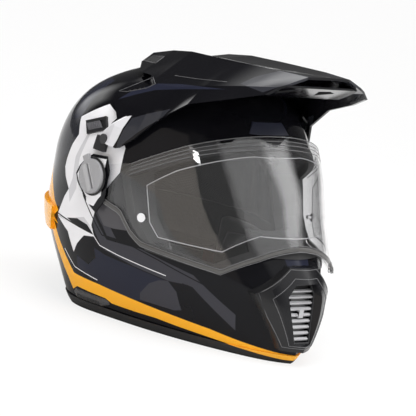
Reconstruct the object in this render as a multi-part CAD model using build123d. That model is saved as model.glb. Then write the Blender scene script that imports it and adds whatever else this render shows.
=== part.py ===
"""Dual sport helmet: a full-face shell with a peak, a clear visor and a chin vent.

Millimetres. The helmet stands on its flat rim at z = 0 and faces -Y; the wearer's right is -X.
The origin is the middle of the overall box, at its bottom.
"""
from build123d import *
import math
import os

# Overall sizes of the shell
half_length = 178.0          # from the middle to the chin vent's face and to the spoiler's edge
shell_height = 250.0
shell_half_width = 126.5
chin_frame_proud = 8.0
spoiler_proud = 4.0
shell_front_reach = half_length - chin_frame_proud
shell_rear_reach = half_length - spoiler_proud
shell_wall = 3.5

# Clearances
running_gap = 0.3
seat_gap = 0.3
overrun = 4 * half_length    # how far a cutting or trimming shape runs past the part

# Layers inside the shell, measured inwards from its inner face
liner_side, liner_front, liner_rear, liner_top = 36.0, 24.0, 30.0, 34.0
comfort_thickness = 8.0
chin_liner_thickness = 22.0
chin_liner_rear = -70.0
liner_bottom = 62.0
comfort_bottom = 100.0

# Rim trim, a channel over the shell's lower edge
rim_trim_height = 9.0
rim_trim_base = 2.5
rim_trim_leg = 1.4

# Eye port seal
seal_lip = 1.6
seal_cover = 6.0
seal_proud = 1.2

# Visor, its inner lens and what turns it
visor_thickness = 2.0
visor_side_gap = 2.0
visor_front_gap = 6.0
visor_fullness = 0.1
pivot_y, pivot_z = 20.0, 140.0
hub_radius = 12.0
boss_radius = 8.5
axle_radius = 5.0
hub_rise = 1.8               # how far the hub's flat face stands out from the shell's widest point
lens_thickness = 1.4
pin_radius, pin_head_radius, pin_head = 2.0, 4.4, 1.4
pin_y, pin_z = -43.0, 115.0
tab_width, tab_height, tab_depth = 9.0, 6.0, 5.0
tab_y, tab_z = -124.0, 87.0

# Side covers and quarter-turn knobs
cover_thickness = 2.6
cover_swing_room = 1.3       # between the cover and the visor, which stands out more as it turns
cover_heel_y = 34.0
knob_radius, knob_thickness = 17.0, 3.4
knob_slot_width, knob_slot_depth, knob_slot_angle = 2.0, 1.4, -33.0
knob_tab_width, knob_tab_reach = 8.0, 5.0
knob_stem_radius, knob_stem_length = 3.0, 7.0

# Peak
peak_wall = 2.5
peak_plan_front = 142.5
web_thickness = 2.0
mount_y, mount_z = 24.5, 172.0
mount_length, mount_height = 15.0, 14.0
tilt_y, tilt_z = 18.0, 178.0
screw_radius, screw_head_radius, screw_head = 2.5, 5.0, 1.6

# Chin vent, with a flat louvre that leans back
louvre_y, louvre_z = -163.5, 51.0
louvre_lean = 12.2
funnel_wall = 2.0
slat_count, slat_thickness, slat_depth = 9, 1.8, 4.0
grille_rail = 1.6
shutter_thickness, shutter_gap = 1.5, 0.4
shutter_travel = 6.0
shutter_tab_width, shutter_tab_height = 6.0, 4.0
mesh_thickness = 1.5

# Small pieces on the shell
plate_proud = 1.2
temple_y, temple_z = 42.0, 186.0
temple_length, temple_height, temple_base, temple_sink = 30.0, 15.0, 1.6, 1.5
temple_skew = 5.0
slider_length, slider_height, slider_thickness = 19.0, 8.0, 1.8
slider_travel = 6.0
slider_rib, slider_ribs = 0.8, 4
temple_turn = 22.0
exhaust_slot_length, exhaust_slot_height, exhaust_slots = 40.0, 3.0, 4
spoiler_low, spoiler_high, spoiler_start = 68.0, 92.0, 88.0

# Pads, curtain and breath guard
cheek_inner, cheek_rear, cheek_bottom, cheek_top = 66.0, 44.0, 10.0, 96.0
neck_thickness, neck_bottom, neck_top, neck_front = 26.0, 10.0, 46.0, 46.0
curtain_thickness, curtain_bottom, curtain_rear = 2.0, 10.0, -84.0
guard_thickness, guard_low, guard_high, guard_half_width = 2.0, 84.0, 118.0, 30.0

# Chin strap, its anchors and its buckle
strap_width, strap_thickness = 22.0, 2.0
strap_y = 31.0
anchor_z = 48.0
anchor_size, anchor_thickness = 22.0, 1.6
rivet_radius, rivet_sink = 3.5, 1.8
strap_under_x, strap_under_z = 92.0, 6.6
strap_inner_x, strap_end_z = 63.5, 58.0
buckle_width, buckle_height, buckle_depth = 26.0, 36.0, 9.0
lever_length, lever_width, lever_thickness = 26.0, 14.0, 2.4
tongue_length, tongue_width, tongue_thickness = 34.0, 14.0, 2.4

# The helmet's form: shares of the shell's height, half width, rear reach, front reach and rear
# reach, with the front and rear powers of each section's curve
form_shares = (
    (0.000, 0.790, 0.258, 0.947, 0.575, 1.45, 2.00),
    (0.100, 0.885, 0.230, 1.000, 0.724, 1.50, 2.05),
    (0.240, 0.965, 0.190, 0.988, 0.897, 1.60, 2.10),
    (0.360, 0.996, 0.161, 0.906, 0.989, 1.68, 2.10),
    (0.460, 1.000, 0.144, 0.800, 1.000, 1.75, 2.10),
    (0.592, 0.996, 0.144, 0.676, 0.996, 1.85, 2.10),
    (0.700, 0.965, 0.144, 0.588, 0.960, 1.90, 2.10),
    (0.828, 0.862, 0.144, 0.465, 0.840, 2.00, 2.10),
    (0.912, 0.690, 0.144, 0.376, 0.680, 2.05, 2.10),
    (0.972, 0.480, 0.144, 0.235, 0.490, 2.10, 2.10),
    (1.000, 0.190, 0.144, 0.040, 0.260, 2.10, 2.10))
section_points = 24

# Side outlines, as shares of half the length along Y and of the shell's height along Z
port_shares = ((-0.09, 0.60), (-0.169, 0.46), (-0.281, 0.356), (-0.607, 0.336), (-0.742, 0.424),
               (-1.2, 0.44), (-1.2, 0.85), (-0.472, 0.796), (-0.326, 0.708), (-0.169, 0.636))
visor_shares = ((-0.107, 0.652), (-0.225, 0.708), (-0.348, 0.772), (-0.483, 0.836), (-1.2, 0.85),
                (-1.2, 0.436), (-0.83, 0.436), (-0.781, 0.388), (-0.669, 0.316), (-0.472, 0.332),
                (-0.258, 0.348), (-0.191, 0.38), (-0.107, 0.448), (0.034, 0.472))
lens_shares = ((-0.22, 0.584), (-0.337, 0.664), (-0.52, 0.756), (-1.2, 0.77), (-1.2, 0.476),
               (-0.72, 0.476), (-0.64, 0.40), (-0.34, 0.40), (-0.28, 0.448))
cover_shares = ((0.04, 0.652), (0.146, 0.644), (0.191, 0.62), (0.236, 0.584), (0.258, 0.548),
                (0.23, 0.516), (0.129, 0.456), (0.045, 0.424), (0.0, 0.48), (0.0, 0.6))
peak_edge_shares = ((0.174, 0.704), (0.0, 0.692), (-0.017, 0.696), (-0.09, 0.744), (-0.163, 0.832),
                    (-0.326, 0.924), (-0.567, 0.984), (-0.736, 1.032), (-1.2, 1.05), (-1.2, 1.3),
                    (0.40, 1.3), (0.40, 0.99), (0.28, 0.968), (0.12, 0.972), (0.034, 0.94),
                    (0.213, 0.888), (0.18, 0.856), (0.073, 0.80), (0.09, 0.772))
web_shares = ((-0.74, 1.072), (-0.48, 1.0))

# Peak stations, as shares of half the length, then of the half width and height in turn:
# where along Y, the valley's height, the ridge, the crease, two flank points and the hem
peak_station_shares = (
    (0.404, 1.000, 0.285, 1.028, 0.569, 0.928, 0.727, 0.848, 0.798, 0.808, 0.854, 0.760),
    (0.225, 1.044, 0.300, 1.064, 0.664, 0.948, 0.838, 0.888, 0.917, 0.832, 0.980, 0.760),
    (0.056, 1.064, 0.324, 1.084, 0.696, 0.952, 0.884, 0.856, 0.990, 0.772, 1.038, 0.680),
    (-0.090, 1.074, 0.332, 1.090, 0.696, 0.960, 0.860, 0.852, 0.937, 0.768, 0.993, 0.680),
    (-0.169, 1.080, 0.332, 1.094, 0.688, 0.968, 0.834, 0.840, 0.902, 0.764, 0.948, 0.680),
    (-0.326, 1.090, 0.324, 1.100, 0.632, 1.000, 0.775, 0.924, 0.838, 0.852, 0.885, 0.780),
    (-0.567, 1.104, 0.292, 1.110, 0.538, 1.038, 0.672, 0.986, 0.735, 0.924, 0.790, 0.860),
    (-0.840, 1.120, 0.213, 1.116, 0.435, 1.078, 0.569, 1.030, 0.625, 0.980, 0.672, 0.928))

# Plan outlines: X as shares of the half width, Y as shares of the peak's front reach
lip_shares = ((0.561, 0.919), (0.395, 0.975), (0.198, 1.0))
web_hole_shares = ((0.32, 0.80), (0.20, 0.86), (0.10, 0.84), (0.21, 0.70))

# Front outlines of the right half from the top down: shares of the half width and of the height
frame_shares = ((0.138, 0.38), (0.395, 0.268), (0.158, 0.06))
frame_lip_shares = ((0.119, 0.348), (0.292, 0.262), (0.119, 0.078))
louvre_shares = ((0.111, 0.112), (0.146, 0.076), (0.079, -0.112))
badge_shares = ((0.158, 0.876), (0.213, 0.832))
exhaust_shares = ((0.237, 0.584), (0.348, 0.46))


def form(side, front=None, rear=None, top=None, fuller=0.0):
    """The left half of the helmet's form, grown outwards by side, front, rear and top."""
    front, rear, top = (side if value is None else value for value in (front, rear, top))
    wires = []
    for row, share in enumerate(form_shares):
        below, above = form_shares[max(row - 1, 0)], form_shares[min(row + 1, len(form_shares) - 1)]
        rise = (above[0] - below[0]) * shell_height
        draw_in = max(0.0, below[1] - above[1]) * shell_half_width
        slant = math.hypot(rise, draw_in)
        out, up = rise / slant, draw_in / slant
        z = share[0] * shell_height + top * up
        half_width = share[1] * shell_half_width + side * out
        middle = share[2] * shell_rear_reach
        front_reach = share[3] * shell_front_reach + front * out + middle
        rear_reach = share[4] * shell_rear_reach + rear * out - middle
        points = []
        for step in range(section_points):
            angle = math.radians(360 * step / section_points - 90)
            cosine, sine = math.cos(angle), math.sin(angle)
            power = share[6] if sine > 0 else share[5] + fuller
            reach = rear_reach if sine > 0 else front_reach
            x = math.copysign(half_width * abs(cosine) ** (2 / power), cosine)
            y = middle + math.copysign(reach * abs(sine) ** (2 / power), sine)
            points.append((x, y, z))
        wires.append(Wire([Edge.make_spline(points, periodic=True)]))
    return Solid.make_loft(wires) & block((0, -overrun, -overrun), (overrun, overrun, overrun))


def shrunk(side, front, rear, top):
    """The left half of the form scaled down, so that it lies inside it by side, front, rear and top."""
    length = shell_front_reach + shell_rear_reach
    factors = (1 - side / shell_half_width, 1 - (front + rear) / length, 1 - top / shell_height)
    return Pos(0, shell_rear_reach * (1 - factors[1]) - rear, 0) * scale(outer_form, by=factors)


def block(low, high):
    """A box between two corners."""
    size = [b - a for a, b in zip(low, high)]
    centre = [(a + b) / 2 for a, b in zip(low, high)]
    return Pos(*centre) * Box(*size)


def side_points(shares):
    """Points (y, z) from shares of half the length and the shell's height."""
    return [(y * half_length, z * shell_height) for y, z in shares]


def front_points(shares):
    """Points (x, z) of a whole outline from the shares of its right half."""
    right = [(x * shell_half_width, z * shell_height) for x, z in shares]
    return right + [(-x, z) for x, z in reversed(right)]


def grown(points, distance):
    """A polygon's points moved outwards by a distance, square to its sides."""
    count = len(points)
    area = sum(points[i][0] * points[(i + 1) % count][1] - points[(i + 1) % count][0] * points[i][1]
               for i in range(count))
    turn = math.copysign(1.0, area)
    moved = []
    for i in range(count):
        (ax, ay), (bx, by), (cx, cy) = points[i - 1], points[i], points[(i + 1) % count]
        first, second = math.hypot(bx - ax, by - ay), math.hypot(cx - bx, cy - by)
        nx, ny = (by - ay) / first * turn, (ax - bx) / first * turn
        mx, my = (cy - by) / second * turn, (bx - cx) / second * turn
        scale = distance / (1 + nx * mx + ny * my)
        moved.append((bx + (nx + mx) * scale, by + (ny + my) * scale))
    return moved


def side_prism(points):
    """A prism along X through (y, z) points, wider than the part."""
    face = Face(Wire.make_polygon([(-overrun, y, z) for y, z in points], close=True))
    return Solid.extrude(face, Vector(2 * overrun, 0, 0))


def front_prism(points):
    """A prism along Y through (x, z) points, in front of the middle."""
    face = Face(Wire.make_polygon([(x, -overrun, z) for x, z in points], close=True))
    return Solid.extrude(face, Vector(0, overrun, 0))


def plan_prism(points):
    """A prism along Z through (x, y) points, taller than the part."""
    face = Face(Wire.make_polygon([(x, y, -overrun) for x, y in points], close=True))
    return Solid.extrude(face, Vector(0, 0, 2 * overrun))


def rod(radius, x_low, x_high, y, z):
    """A round rod along X."""
    return Pos((x_low + x_high) / 2, y, z) * Rot(0, 90, 0) * Cylinder(radius, x_high - x_low)


def skin(outer, inner, zone):
    """What lies within a zone and the outer shape, and outside the inner one."""
    return (outer & zone) - inner


def surface_at(solid, y, z):
    """The outermost point of a solid on +X at (y, z), and its outward normal."""
    hits = solid.find_intersection_points(Axis((0, y, z), (1, 0, 0)))
    point, normal = max(hits, key=lambda hit: hit[0].X)
    return point, normal if normal.X > 0 else -normal


def stadium(path, thickness):
    """Points of a band of even thickness along an open path, given as (x, z) points."""
    left, right = [], []
    for i, point in enumerate(path):
        before, after = path[max(i - 1, 0)], path[min(i + 1, len(path) - 1)]
        normals = []
        for start, end in ((before, point), (point, after)):
            length = math.hypot(end[0] - start[0], end[1] - start[1])
            if length > 0:
                normals.append(((start[1] - end[1]) / length, (end[0] - start[0]) / length))
        nx, nz = (sum(values) for values in zip(*normals))
        scale = thickness / 2 * len(normals) / (nx * nx + nz * nz)
        left.append((point[0] + nx * scale, point[1] + nz * scale))
        right.append((point[0] - nx * scale, point[1] - nz * scale))
    return left + right[::-1]


parts = {}


def keep(name, shape, largest_only=False):
    """Store a node, as one solid or as a compound of its solids."""
    solids = sorted(shape.solids(), key=lambda solid: -solid.volume)
    if largest_only:
        solids = solids[:1]
    parts[name] = solids[0] if len(solids) == 1 else Compound(solids)
    return parts[name]


def keep_whole(name, half):
    """Store a piece that is alike on both sides, from its left half."""
    return keep(name, half + mirror(half, about=Plane.YZ), largest_only=True)


def keep_pair(name, shape):
    """Store a piece of the wearer's left, on +X, and its mirror image on the right."""
    left = keep(name + "_left", shape, largest_only=True)
    keep(name + "_right", mirror(left, about=Plane.YZ), largest_only=True)
    return left


# Forms that several pieces share
outer_form = form(0)
inner_form = form(-shell_wall)
lining_form = form(-shell_wall - seat_gap)
liner_depths = [shell_wall + depth for depth in (liner_side, liner_front, liner_rear, liner_top)]
cavity_form = shrunk(*liner_depths)
port_points = side_points(port_shares)
port = side_prism(port_points)
pivot_point, _ = surface_at(outer_form, pivot_y, pivot_z)
hub_face = pivot_point.X + visor_side_gap + hub_rise

# Chin vent: the louvre's own plane, with X across, Y up its slope and Z outwards
louvre_plane = Plane((0, louvre_y, louvre_z), x_dir=(1, 0, 0),
                     z_dir=(0, -math.cos(math.radians(louvre_lean)), math.sin(math.radians(louvre_lean))))
louvre_points = front_points(louvre_shares)
lip_points = front_points(frame_lip_shares)


def on_louvre(points, depth=0.0):
    """A closed wire on the louvre's plane, moved outwards by a depth."""
    return Wire.make_polygon([louvre_plane.from_local_coords(Vector(x, y, depth)) for x, y in points],
                             close=True)


def louvre_slab(points, low, high):
    """A flat piece parallel to the louvre, between two depths."""
    face = Face(on_louvre(points, low))
    return Solid.extrude(face, louvre_plane.z_dir * (high - low))


def funnel(growth):
    """The chin vent's tapering mouth, grown by its wall."""
    mouth = Wire.make_polygon([(x, -half_length - chin_frame_proud, z) for x, z in grown(lip_points, growth)],
                              close=True)
    throat = on_louvre(grown(louvre_points, growth))
    return Solid.make_loft([mouth, throat], ruled=True)


def make_chin_vent():
    """Chin vent frame, grille, shutter and mesh, and the shape that the shell makes room with."""
    frame_form = form(chin_frame_proud)
    hexagon = front_prism(front_points(frame_shares))
    plate = skin(frame_form, outer_form, hexagon)
    walls = funnel(funnel_wall) & frame_form
    depth = slat_depth + 2 * shutter_gap + shutter_thickness + mesh_thickness
    sleeve_points = grown(louvre_points, funnel_wall)
    sleeve = louvre_slab(sleeve_points, -depth, 0)
    left_half = block((0, -overrun, -overrun), (overrun, overrun, overrun))
    frame = plate + walls + (sleeve & left_half)
    keep_whole("chin_vent_frame", frame - funnel(0) - louvre_slab(louvre_points, -depth, 0))

    window = block((-shutter_tab_width / 2 - shutter_gap, -shutter_tab_height / 2 - shutter_gap, -slat_depth * 2),
                   (shutter_tab_width / 2 + shutter_gap, shutter_tab_height / 2 + shutter_travel + shutter_gap,
                    slat_depth * 2))
    ring = louvre_slab(louvre_points, -slat_depth, 0) \
        - louvre_slab(grown(louvre_points, -grille_rail), -slat_depth, 0)
    top, bottom = louvre_points[0][1], louvre_points[2][1]
    pitch = (top - bottom - grille_rail) / slat_count
    slats = louvre_slab(louvre_points, -slat_depth, 0)
    bars = None
    for number in range(1, slat_count):
        height = bottom + grille_rail / 2 + number * pitch
        bar = block((-overrun, height - slat_thickness / 2, -slat_depth),
                    (overrun, height + slat_thickness / 2, 0))
        bars = bar if bars is None else bars + bar
    frame_of_window = block((-shutter_tab_width / 2 - shutter_gap - grille_rail,
                             -shutter_tab_height / 2 - shutter_gap - grille_rail, -slat_depth),
                            (shutter_tab_width / 2 + shutter_gap + grille_rail,
                             shutter_tab_height / 2 + shutter_travel + shutter_gap + grille_rail, 0))
    bars = louvre_plane.location * (bars + frame_of_window - window)
    keep("chin_vent_grille", ring + (slats & bars), largest_only=True)

    back = -slat_depth - shutter_gap
    inset = grown(louvre_points, -shutter_gap)
    leaf_low, leaf_high = bottom + shutter_gap, top - shutter_travel - shutter_gap
    leaf = louvre_slab(inset, back - shutter_thickness, back)
    slot = louvre_plane.location * block((-louvre_points[2][0] + shutter_gap, leaf_low, -overrun),
                                         (louvre_points[2][0] - shutter_gap, leaf_high, overrun))
    tab = louvre_plane.location * block((-shutter_tab_width / 2, -shutter_tab_height / 2, back - shutter_gap),
                                        (shutter_tab_width / 2, shutter_tab_height / 2, shutter_gap))
    keep("chin_vent_shutter", (leaf & slot) + tab)
    keep("chin_vent_mesh", louvre_slab(louvre_points, -depth, -depth + mesh_thickness))
    return funnel(funnel_wall) + sleeve


def make_shell(vent_room):
    """Outer shell, rim trim, eye port seal and the pieces fixed to the shell's face."""
    rim_cut = block((-overrun, -overrun, -overrun), (overrun, overrun, rim_trim_base))
    shell = outer_form - inner_form - port - rim_cut - vent_room
    edge = block((-overrun, -overrun, 0), (overrun, overrun, rim_trim_height))
    trim = skin(form(rim_trim_leg), form(-shell_wall - rim_trim_leg), edge)
    keep_whole("rim_trim", trim - skin(outer_form, inner_form, edge - rim_cut))

    seal_ring = side_prism(grown(port_points, seal_cover)) - side_prism(grown(port_points, -seal_lip))
    seal = skin(form(seal_proud), form(-shell_wall - seal_proud), seal_ring)
    keep_whole("eye_port_seal", seal - (skin(outer_form, inner_form, seal_ring) - port))

    badge = front_prism(front_points(badge_shares))
    keep_whole("brow_plate", skin(form(plate_proud), outer_form, badge))

    band = block((-overrun, spoiler_start, spoiler_low), (overrun, overrun, spoiler_high))
    keep_whole("rear_spoiler", skin(form(spoiler_proud), outer_form, band))

    patch = mirror(front_prism(front_points(exhaust_shares)), about=Plane.XZ)
    exhaust = skin(form(spoiler_proud), outer_form, patch)
    low, high = exhaust_shares[1][1] * shell_height, exhaust_shares[0][1] * shell_height
    pitch = (high - low) / (exhaust_slots + 1)
    for number in range(exhaust_slots):
        z = low + (number + 1) * pitch
        slot = block((-exhaust_slot_length / 2, 0, z - exhaust_slot_height / 2),
                     (exhaust_slot_length / 2, overrun, z + exhaust_slot_height / 2))
        exhaust -= slot
        shell -= slot
    keep_whole("rear_exhaust_cover", exhaust)

    shell -= rod(rivet_radius, rivet_start, rivet_end, strap_y, anchor_z)
    keep_whole("outer_shell", shell - temple_pocket - stem_socket)


def temple_plane():
    """The left temple vent's own plane: X forwards and up along the vent, Z outwards."""
    point, normal = surface_at(outer_form, temple_y, temple_z)
    turn = math.radians(temple_turn)
    forward = Vector(0, -math.cos(turn), math.sin(turn))
    along = (forward - normal * forward.dot(normal)).normalized()
    return Plane(point, x_dir=along, z_dir=normal)


def leaning(length, height, low, high, plane, shift=0.0):
    """A leaning four-sided slab on a plane, between two depths."""
    points = [(-length / 2 - temple_skew / 2, -height / 2), (length / 2 - temple_skew / 2, -height / 2),
              (length / 2 + temple_skew / 2, height / 2), (-length / 2 + temple_skew / 2, height / 2)]
    wire = Wire.make_polygon([plane.from_local_coords(Vector(x + shift, y, low)) for x, y in points], close=True)
    return Solid.extrude(Face(wire), plane.z_dir * (high - low))


def make_temple_vents():
    """Temple vent bases and their sliders; returns the pocket that the shell makes for one."""
    plane = temple_plane()
    base = leaning(temple_length, temple_height, -temple_sink, temple_base, plane)
    track = leaning(slider_length + slider_travel + 2 * running_gap, slider_height + 2 * running_gap,
                    0, temple_base * 2, plane)
    keep_pair("temple_vent_base", base - track)
    start = -slider_travel / 2
    slider = leaning(slider_length, slider_height, running_gap, running_gap + slider_thickness, plane, start)
    spacing = slider_length / (slider_ribs + 2)
    for number in range(slider_ribs):
        x = start + (number - (slider_ribs - 1) / 2) * spacing
        rib = plane.location * block((x - slider_rib, -slider_height / 3, slider_thickness),
                                     (x + slider_rib, slider_height / 3, running_gap + slider_thickness + slider_rib))
        slider += rib
    keep_pair("temple_vent_slider", slider)
    pocket = leaning(temple_length, temple_height, -temple_sink, temple_base + shell_wall, plane)
    print("temple slider direction", plane.x_dir)
    return pocket


def make_visor():
    """Visor with its hubs, inner lens, pins and lift tab."""
    side, front = visor_side_gap + visor_thickness, visor_front_gap + visor_thickness
    inner = form(visor_side_gap, visor_front_gap, fuller=visor_fullness)
    outer = form(side, front, fuller=visor_fullness)
    points = side_points(visor_shares)
    hub_points = [(pivot_y, pivot_z - hub_radius), (pivot_y - hub_radius / 4, pivot_z + hub_radius)]
    visor = skin(outer, inner, side_prism(points + hub_points))
    hub_low = hub_face - visor_thickness
    hub = rod(hub_radius, shell_half_width + running_gap, hub_face, pivot_y, pivot_z)
    well = rod(boss_radius + running_gap, shell_half_width / 2, hub_low, pivot_y, pivot_z)
    bore = rod(axle_radius + running_gap, shell_half_width / 2, overrun, pivot_y, pivot_z)
    visor = visor + hub - well - bore
    lens_outer = form(visor_side_gap - seat_gap, visor_front_gap - seat_gap, fuller=visor_fullness)
    lens_inner = form(visor_side_gap - seat_gap - lens_thickness, visor_front_gap - seat_gap - lens_thickness,
                      fuller=visor_fullness)
    lens = skin(lens_outer, lens_inner, side_prism(side_points(lens_shares)))

    point, normal = surface_at(outer, pin_y, pin_z)
    plane = Plane(point, z_dir=normal)
    shaft_length = visor_thickness + seat_gap + lens_thickness + pin_head
    pins = plane.location * (Pos(0, 0, pin_head / 2) * Cylinder(pin_head_radius, pin_head)
                             + Pos(0, 0, -shaft_length / 2) * Cylinder(pin_radius, shaft_length))
    pins -= outer - plane.location * (Pos(0, 0, -shaft_length / 2) * Cylinder(pin_radius, shaft_length * 2))
    shaft = plane.location * Cylinder(pin_radius, shaft_length * 4)
    visor -= shaft
    keep_pair("lens_pin", pins)
    keep_whole("visor_lens", lens - shaft)

    x_hit, _ = surface_at(outer, tab_y, tab_z)
    tab = block((x_hit.X - tab_depth, tab_y - tab_width, tab_z - tab_height),
                (x_hit.X + tab_depth, tab_y + tab_width / 2, tab_z + tab_height / 2))
    tab &= form(side + tab_depth / 2, front + tab_depth / 2, fuller=visor_fullness) - outer
    keep("visor", visor + mirror(visor, about=Plane.YZ) + tab, largest_only=True)


def make_pivots():
    """Pivot bosses, side covers and quarter-turn knobs."""
    boss_face = hub_face - visor_thickness - running_gap
    boss = rod(boss_radius, shell_half_width / 2, boss_face, pivot_y, pivot_z) \
        + rod(axle_radius, shell_half_width / 2, hub_face + running_gap / 2, pivot_y, pivot_z)
    keep_pair("pivot_boss", boss - outer_form - stem_socket)

    cover_low = hub_face - pivot_point.X + running_gap
    cover_skin = form(cover_low + cover_thickness)
    face_point, _ = surface_at(cover_skin, pivot_y, pivot_z)
    knob_low = face_point.X + running_gap
    visor_room = form(visor_side_gap + visor_thickness + cover_swing_room,
                      visor_front_gap + visor_thickness + cover_swing_room, fuller=visor_fullness)
    visor_room &= block((0, -overrun, -overrun), (overrun, cover_heel_y, overrun))
    cover = skin(cover_skin, outer_form, side_prism(side_points(cover_shares))) - visor_room \
        - rod(hub_radius + running_gap, 0, hub_face + running_gap, pivot_y, pivot_z) \
        - rod(knob_stem_radius + running_gap, 0, overrun, pivot_y, pivot_z) \
        - rod(knob_radius + knob_tab_reach + running_gap, knob_low - running_gap, overrun, pivot_y, pivot_z)
    keep_pair("side_cover", cover)

    knob = rod(knob_radius, knob_low, knob_low + knob_thickness, pivot_y, pivot_z) \
        + rod(knob_stem_radius, hub_face - knob_stem_length, knob_low, pivot_y, pivot_z)
    tab = Pos(knob_low + knob_thickness / 2, 0, knob_radius + knob_tab_reach / 2 - knob_tab_reach / 4) \
        * Box(knob_thickness, knob_tab_width, knob_tab_reach * 3 / 2)
    slot = Pos(knob_low + knob_thickness, 0, 0) * Box(2 * knob_slot_depth, knob_slot_width, 3 * knob_radius / 2)
    turned = Pos(0, pivot_y, pivot_z) * Rot(knob_slot_angle, 0, 0)
    keep_pair("side_knob", knob + turned * tab - turned * slot)


def peak_profile(share):
    """Outer points of one peak station, from the left hem over the valley to the right hem."""
    half = [(0.0, share[1] * shell_height)]
    for place in range(2, len(share), 2):
        half.append((share[place] * shell_half_width, share[place + 1] * shell_height))
    return [(-x, z) for x, z in reversed(half[1:])] + half


def peak_solid(inside):
    """The peak's hood as a thin shell, or the room inside it."""
    wires = []
    for share in peak_station_shares:
        outer = peak_profile(share)
        inner = []
        for i, point in enumerate(outer):
            before, after = outer[max(i - 1, 0)], outer[min(i + 1, len(outer) - 1)]
            length = math.hypot(after[0] - before[0], after[1] - before[1])
            inner.append((point[0] + (after[1] - before[1]) / length * peak_wall,
                          point[1] - (after[0] - before[0]) / length * peak_wall))
        ring = inner if inside else outer + inner[::-1]
        wires.append(Wire.make_polygon([(x, share[0] * half_length, z) for x, z in ring], close=True))
    return Solid.make_loft(wires, ruled=True)


def make_peak():
    """Peak, its duct panel, and its mounts and screws at the sides."""
    right = [(x * shell_half_width, -y * peak_plan_front) for x, y in lip_shares]
    lip = right + [(-x, y) for x, y in reversed(right)]
    lip += [(-overrun, lip[-1][1]), (-overrun, overrun), (overrun, overrun), (overrun, lip[0][1])]
    peak = peak_solid(False) & side_prism(side_points(peak_edge_shares)) & plan_prism(lip)

    (front_y, front_z), (rear_y, rear_z) = side_points(web_shares)
    web = side_prism([(front_y, front_z), (rear_y, rear_z), (rear_y, rear_z - web_thickness),
                      (front_y, front_z - web_thickness)]) & peak_solid(True)
    hole = [(x * shell_half_width, -y * peak_plan_front) for x, y in web_hole_shares]
    web = web - plan_prism(hole) - plan_prism([(-x, y) for x, y in reversed(hole)])
    keep("peak_duct_panel", web, largest_only=True)

    point, _ = surface_at(peak_solid(False), tilt_y, tilt_z)
    head_low = point.X - screw_head / 4
    mount = block((shell_half_width / 2, mount_y - mount_length / 2, mount_z - mount_height / 2),
                  (overrun, mount_y + mount_length / 2, mount_z + mount_height / 2))
    mount = (mount & form(peak_mount_reach())) - outer_form
    hole_rod = rod(screw_radius + running_gap / 2, shell_half_width / 2, overrun, tilt_y, tilt_z)
    mount -= rod(screw_radius, shell_half_width / 2, overrun, tilt_y, tilt_z)
    keep_pair("peak_mount", mount)
    outer_point, _ = surface_at(outer_form, tilt_y, tilt_z)
    screw = rod(screw_radius, outer_point.X + screw_radius / 2, head_low, tilt_y, tilt_z) \
        + rod(screw_head_radius, head_low, head_low + screw_head, tilt_y, tilt_z)
    keep_pair("peak_screw", screw)
    hole = hole_rod + rod(screw_head_radius + running_gap, head_low - running_gap, overrun, tilt_y, tilt_z)
    keep("peak", peak - hole - mirror(hole, about=Plane.YZ), largest_only=True)


def peak_mount_reach():
    """How far the peak's mount stands out of the shell, up to just inside the peak's flank."""
    outer_point, _ = surface_at(outer_form, tilt_y, tilt_z)
    flank_point, _ = surface_at(peak_solid(True), tilt_y, tilt_z)
    return flank_point.X - outer_point.X - running_gap * 2


def make_linings(vent_room):
    """Impact liners, comfort liner, cheek pads, neck roll, chin curtain and breath guard."""
    port_room = side_prism(grown(port_points, seal_cover))
    duct_room = vent_room + front_prism(grown(front_points(frame_lip_shares), -funnel_wall))
    chin_gap = block((-overrun, -overrun, -overrun), (overrun, -shell_front_reach / 4, shell_height / 2))
    upper = block((-overrun, -overrun, liner_bottom), (overrun, overrun, overrun))
    keep_whole("impact_liner", skin(lining_form, cavity_form, upper) - port_room - chin_gap)

    chin_depth = shell_wall + chin_liner_thickness
    chin_room, guard_form = shrunk(*[chin_depth] * 4), shrunk(*[chin_depth + seat_gap] * 4)
    chin_zone = block((-overrun, -overrun, rim_trim_height + seat_gap), (overrun, chin_liner_rear, cheek_top))
    keep_whole("chin_impact_liner", skin(lining_form, chin_room, chin_zone) - port_room - duct_room)

    crown = block((-overrun, -overrun, comfort_bottom), (overrun, overrun, overrun))
    comfort = skin(shrunk(*(depth + seat_gap for depth in liner_depths)),
                   shrunk(*(depth + comfort_thickness for depth in liner_depths)), crown)
    keep_whole("comfort_liner", comfort - port_room - chin_gap)

    cheek = block((cheek_inner, chin_liner_rear + seat_gap, cheek_bottom), (overrun, cheek_rear, cheek_top)) \
        & lining_form
    under_liner = block((0, -overrun, liner_bottom - seat_gap), (overrun, overrun, overrun))
    liner_room = (outer_form - shrunk(*(depth + seat_gap for depth in liner_depths))) & under_liner
    liner_room -= chin_gap
    anchor_low, anchor_high = anchor_z - anchor_size / 2 - seat_gap, anchor_z + anchor_size / 2 + seat_gap
    anchor_room = block((min(strap_x(anchor_low), strap_x(anchor_high)) - strap_thickness,
                         strap_y - anchor_size / 2 - seat_gap, anchor_low),
                        (overrun, strap_y + anchor_size / 2 + seat_gap, anchor_high))
    keep_pair("cheek_pad", cheek - port_room - liner_room - strap_room - anchor_room)

    nape = block((-overrun, neck_front, neck_bottom), (overrun, overrun, neck_top))
    roll = skin(lining_form, shrunk(*[shell_wall + neck_thickness] * 4), nape)
    keep_whole("neck_roll", roll)

    curtain = guard_form & block((-overrun, -overrun, curtain_bottom),
                                 (overrun, curtain_rear, curtain_bottom + curtain_thickness))
    keep_whole("chin_curtain", curtain)

    mouth = block((-guard_half_width, -overrun, guard_low), (guard_half_width, 0, guard_high))
    guard = skin(guard_form, shrunk(*[chin_depth + seat_gap + guard_thickness] * 4), mouth)
    keep_whole("breath_guard", guard)


# Chin strap: its path in X and Z runs down the shell's wall, under the cheek pad and up inside it
strap_seat = form(-shell_wall - 2 * seat_gap - anchor_thickness)


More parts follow.
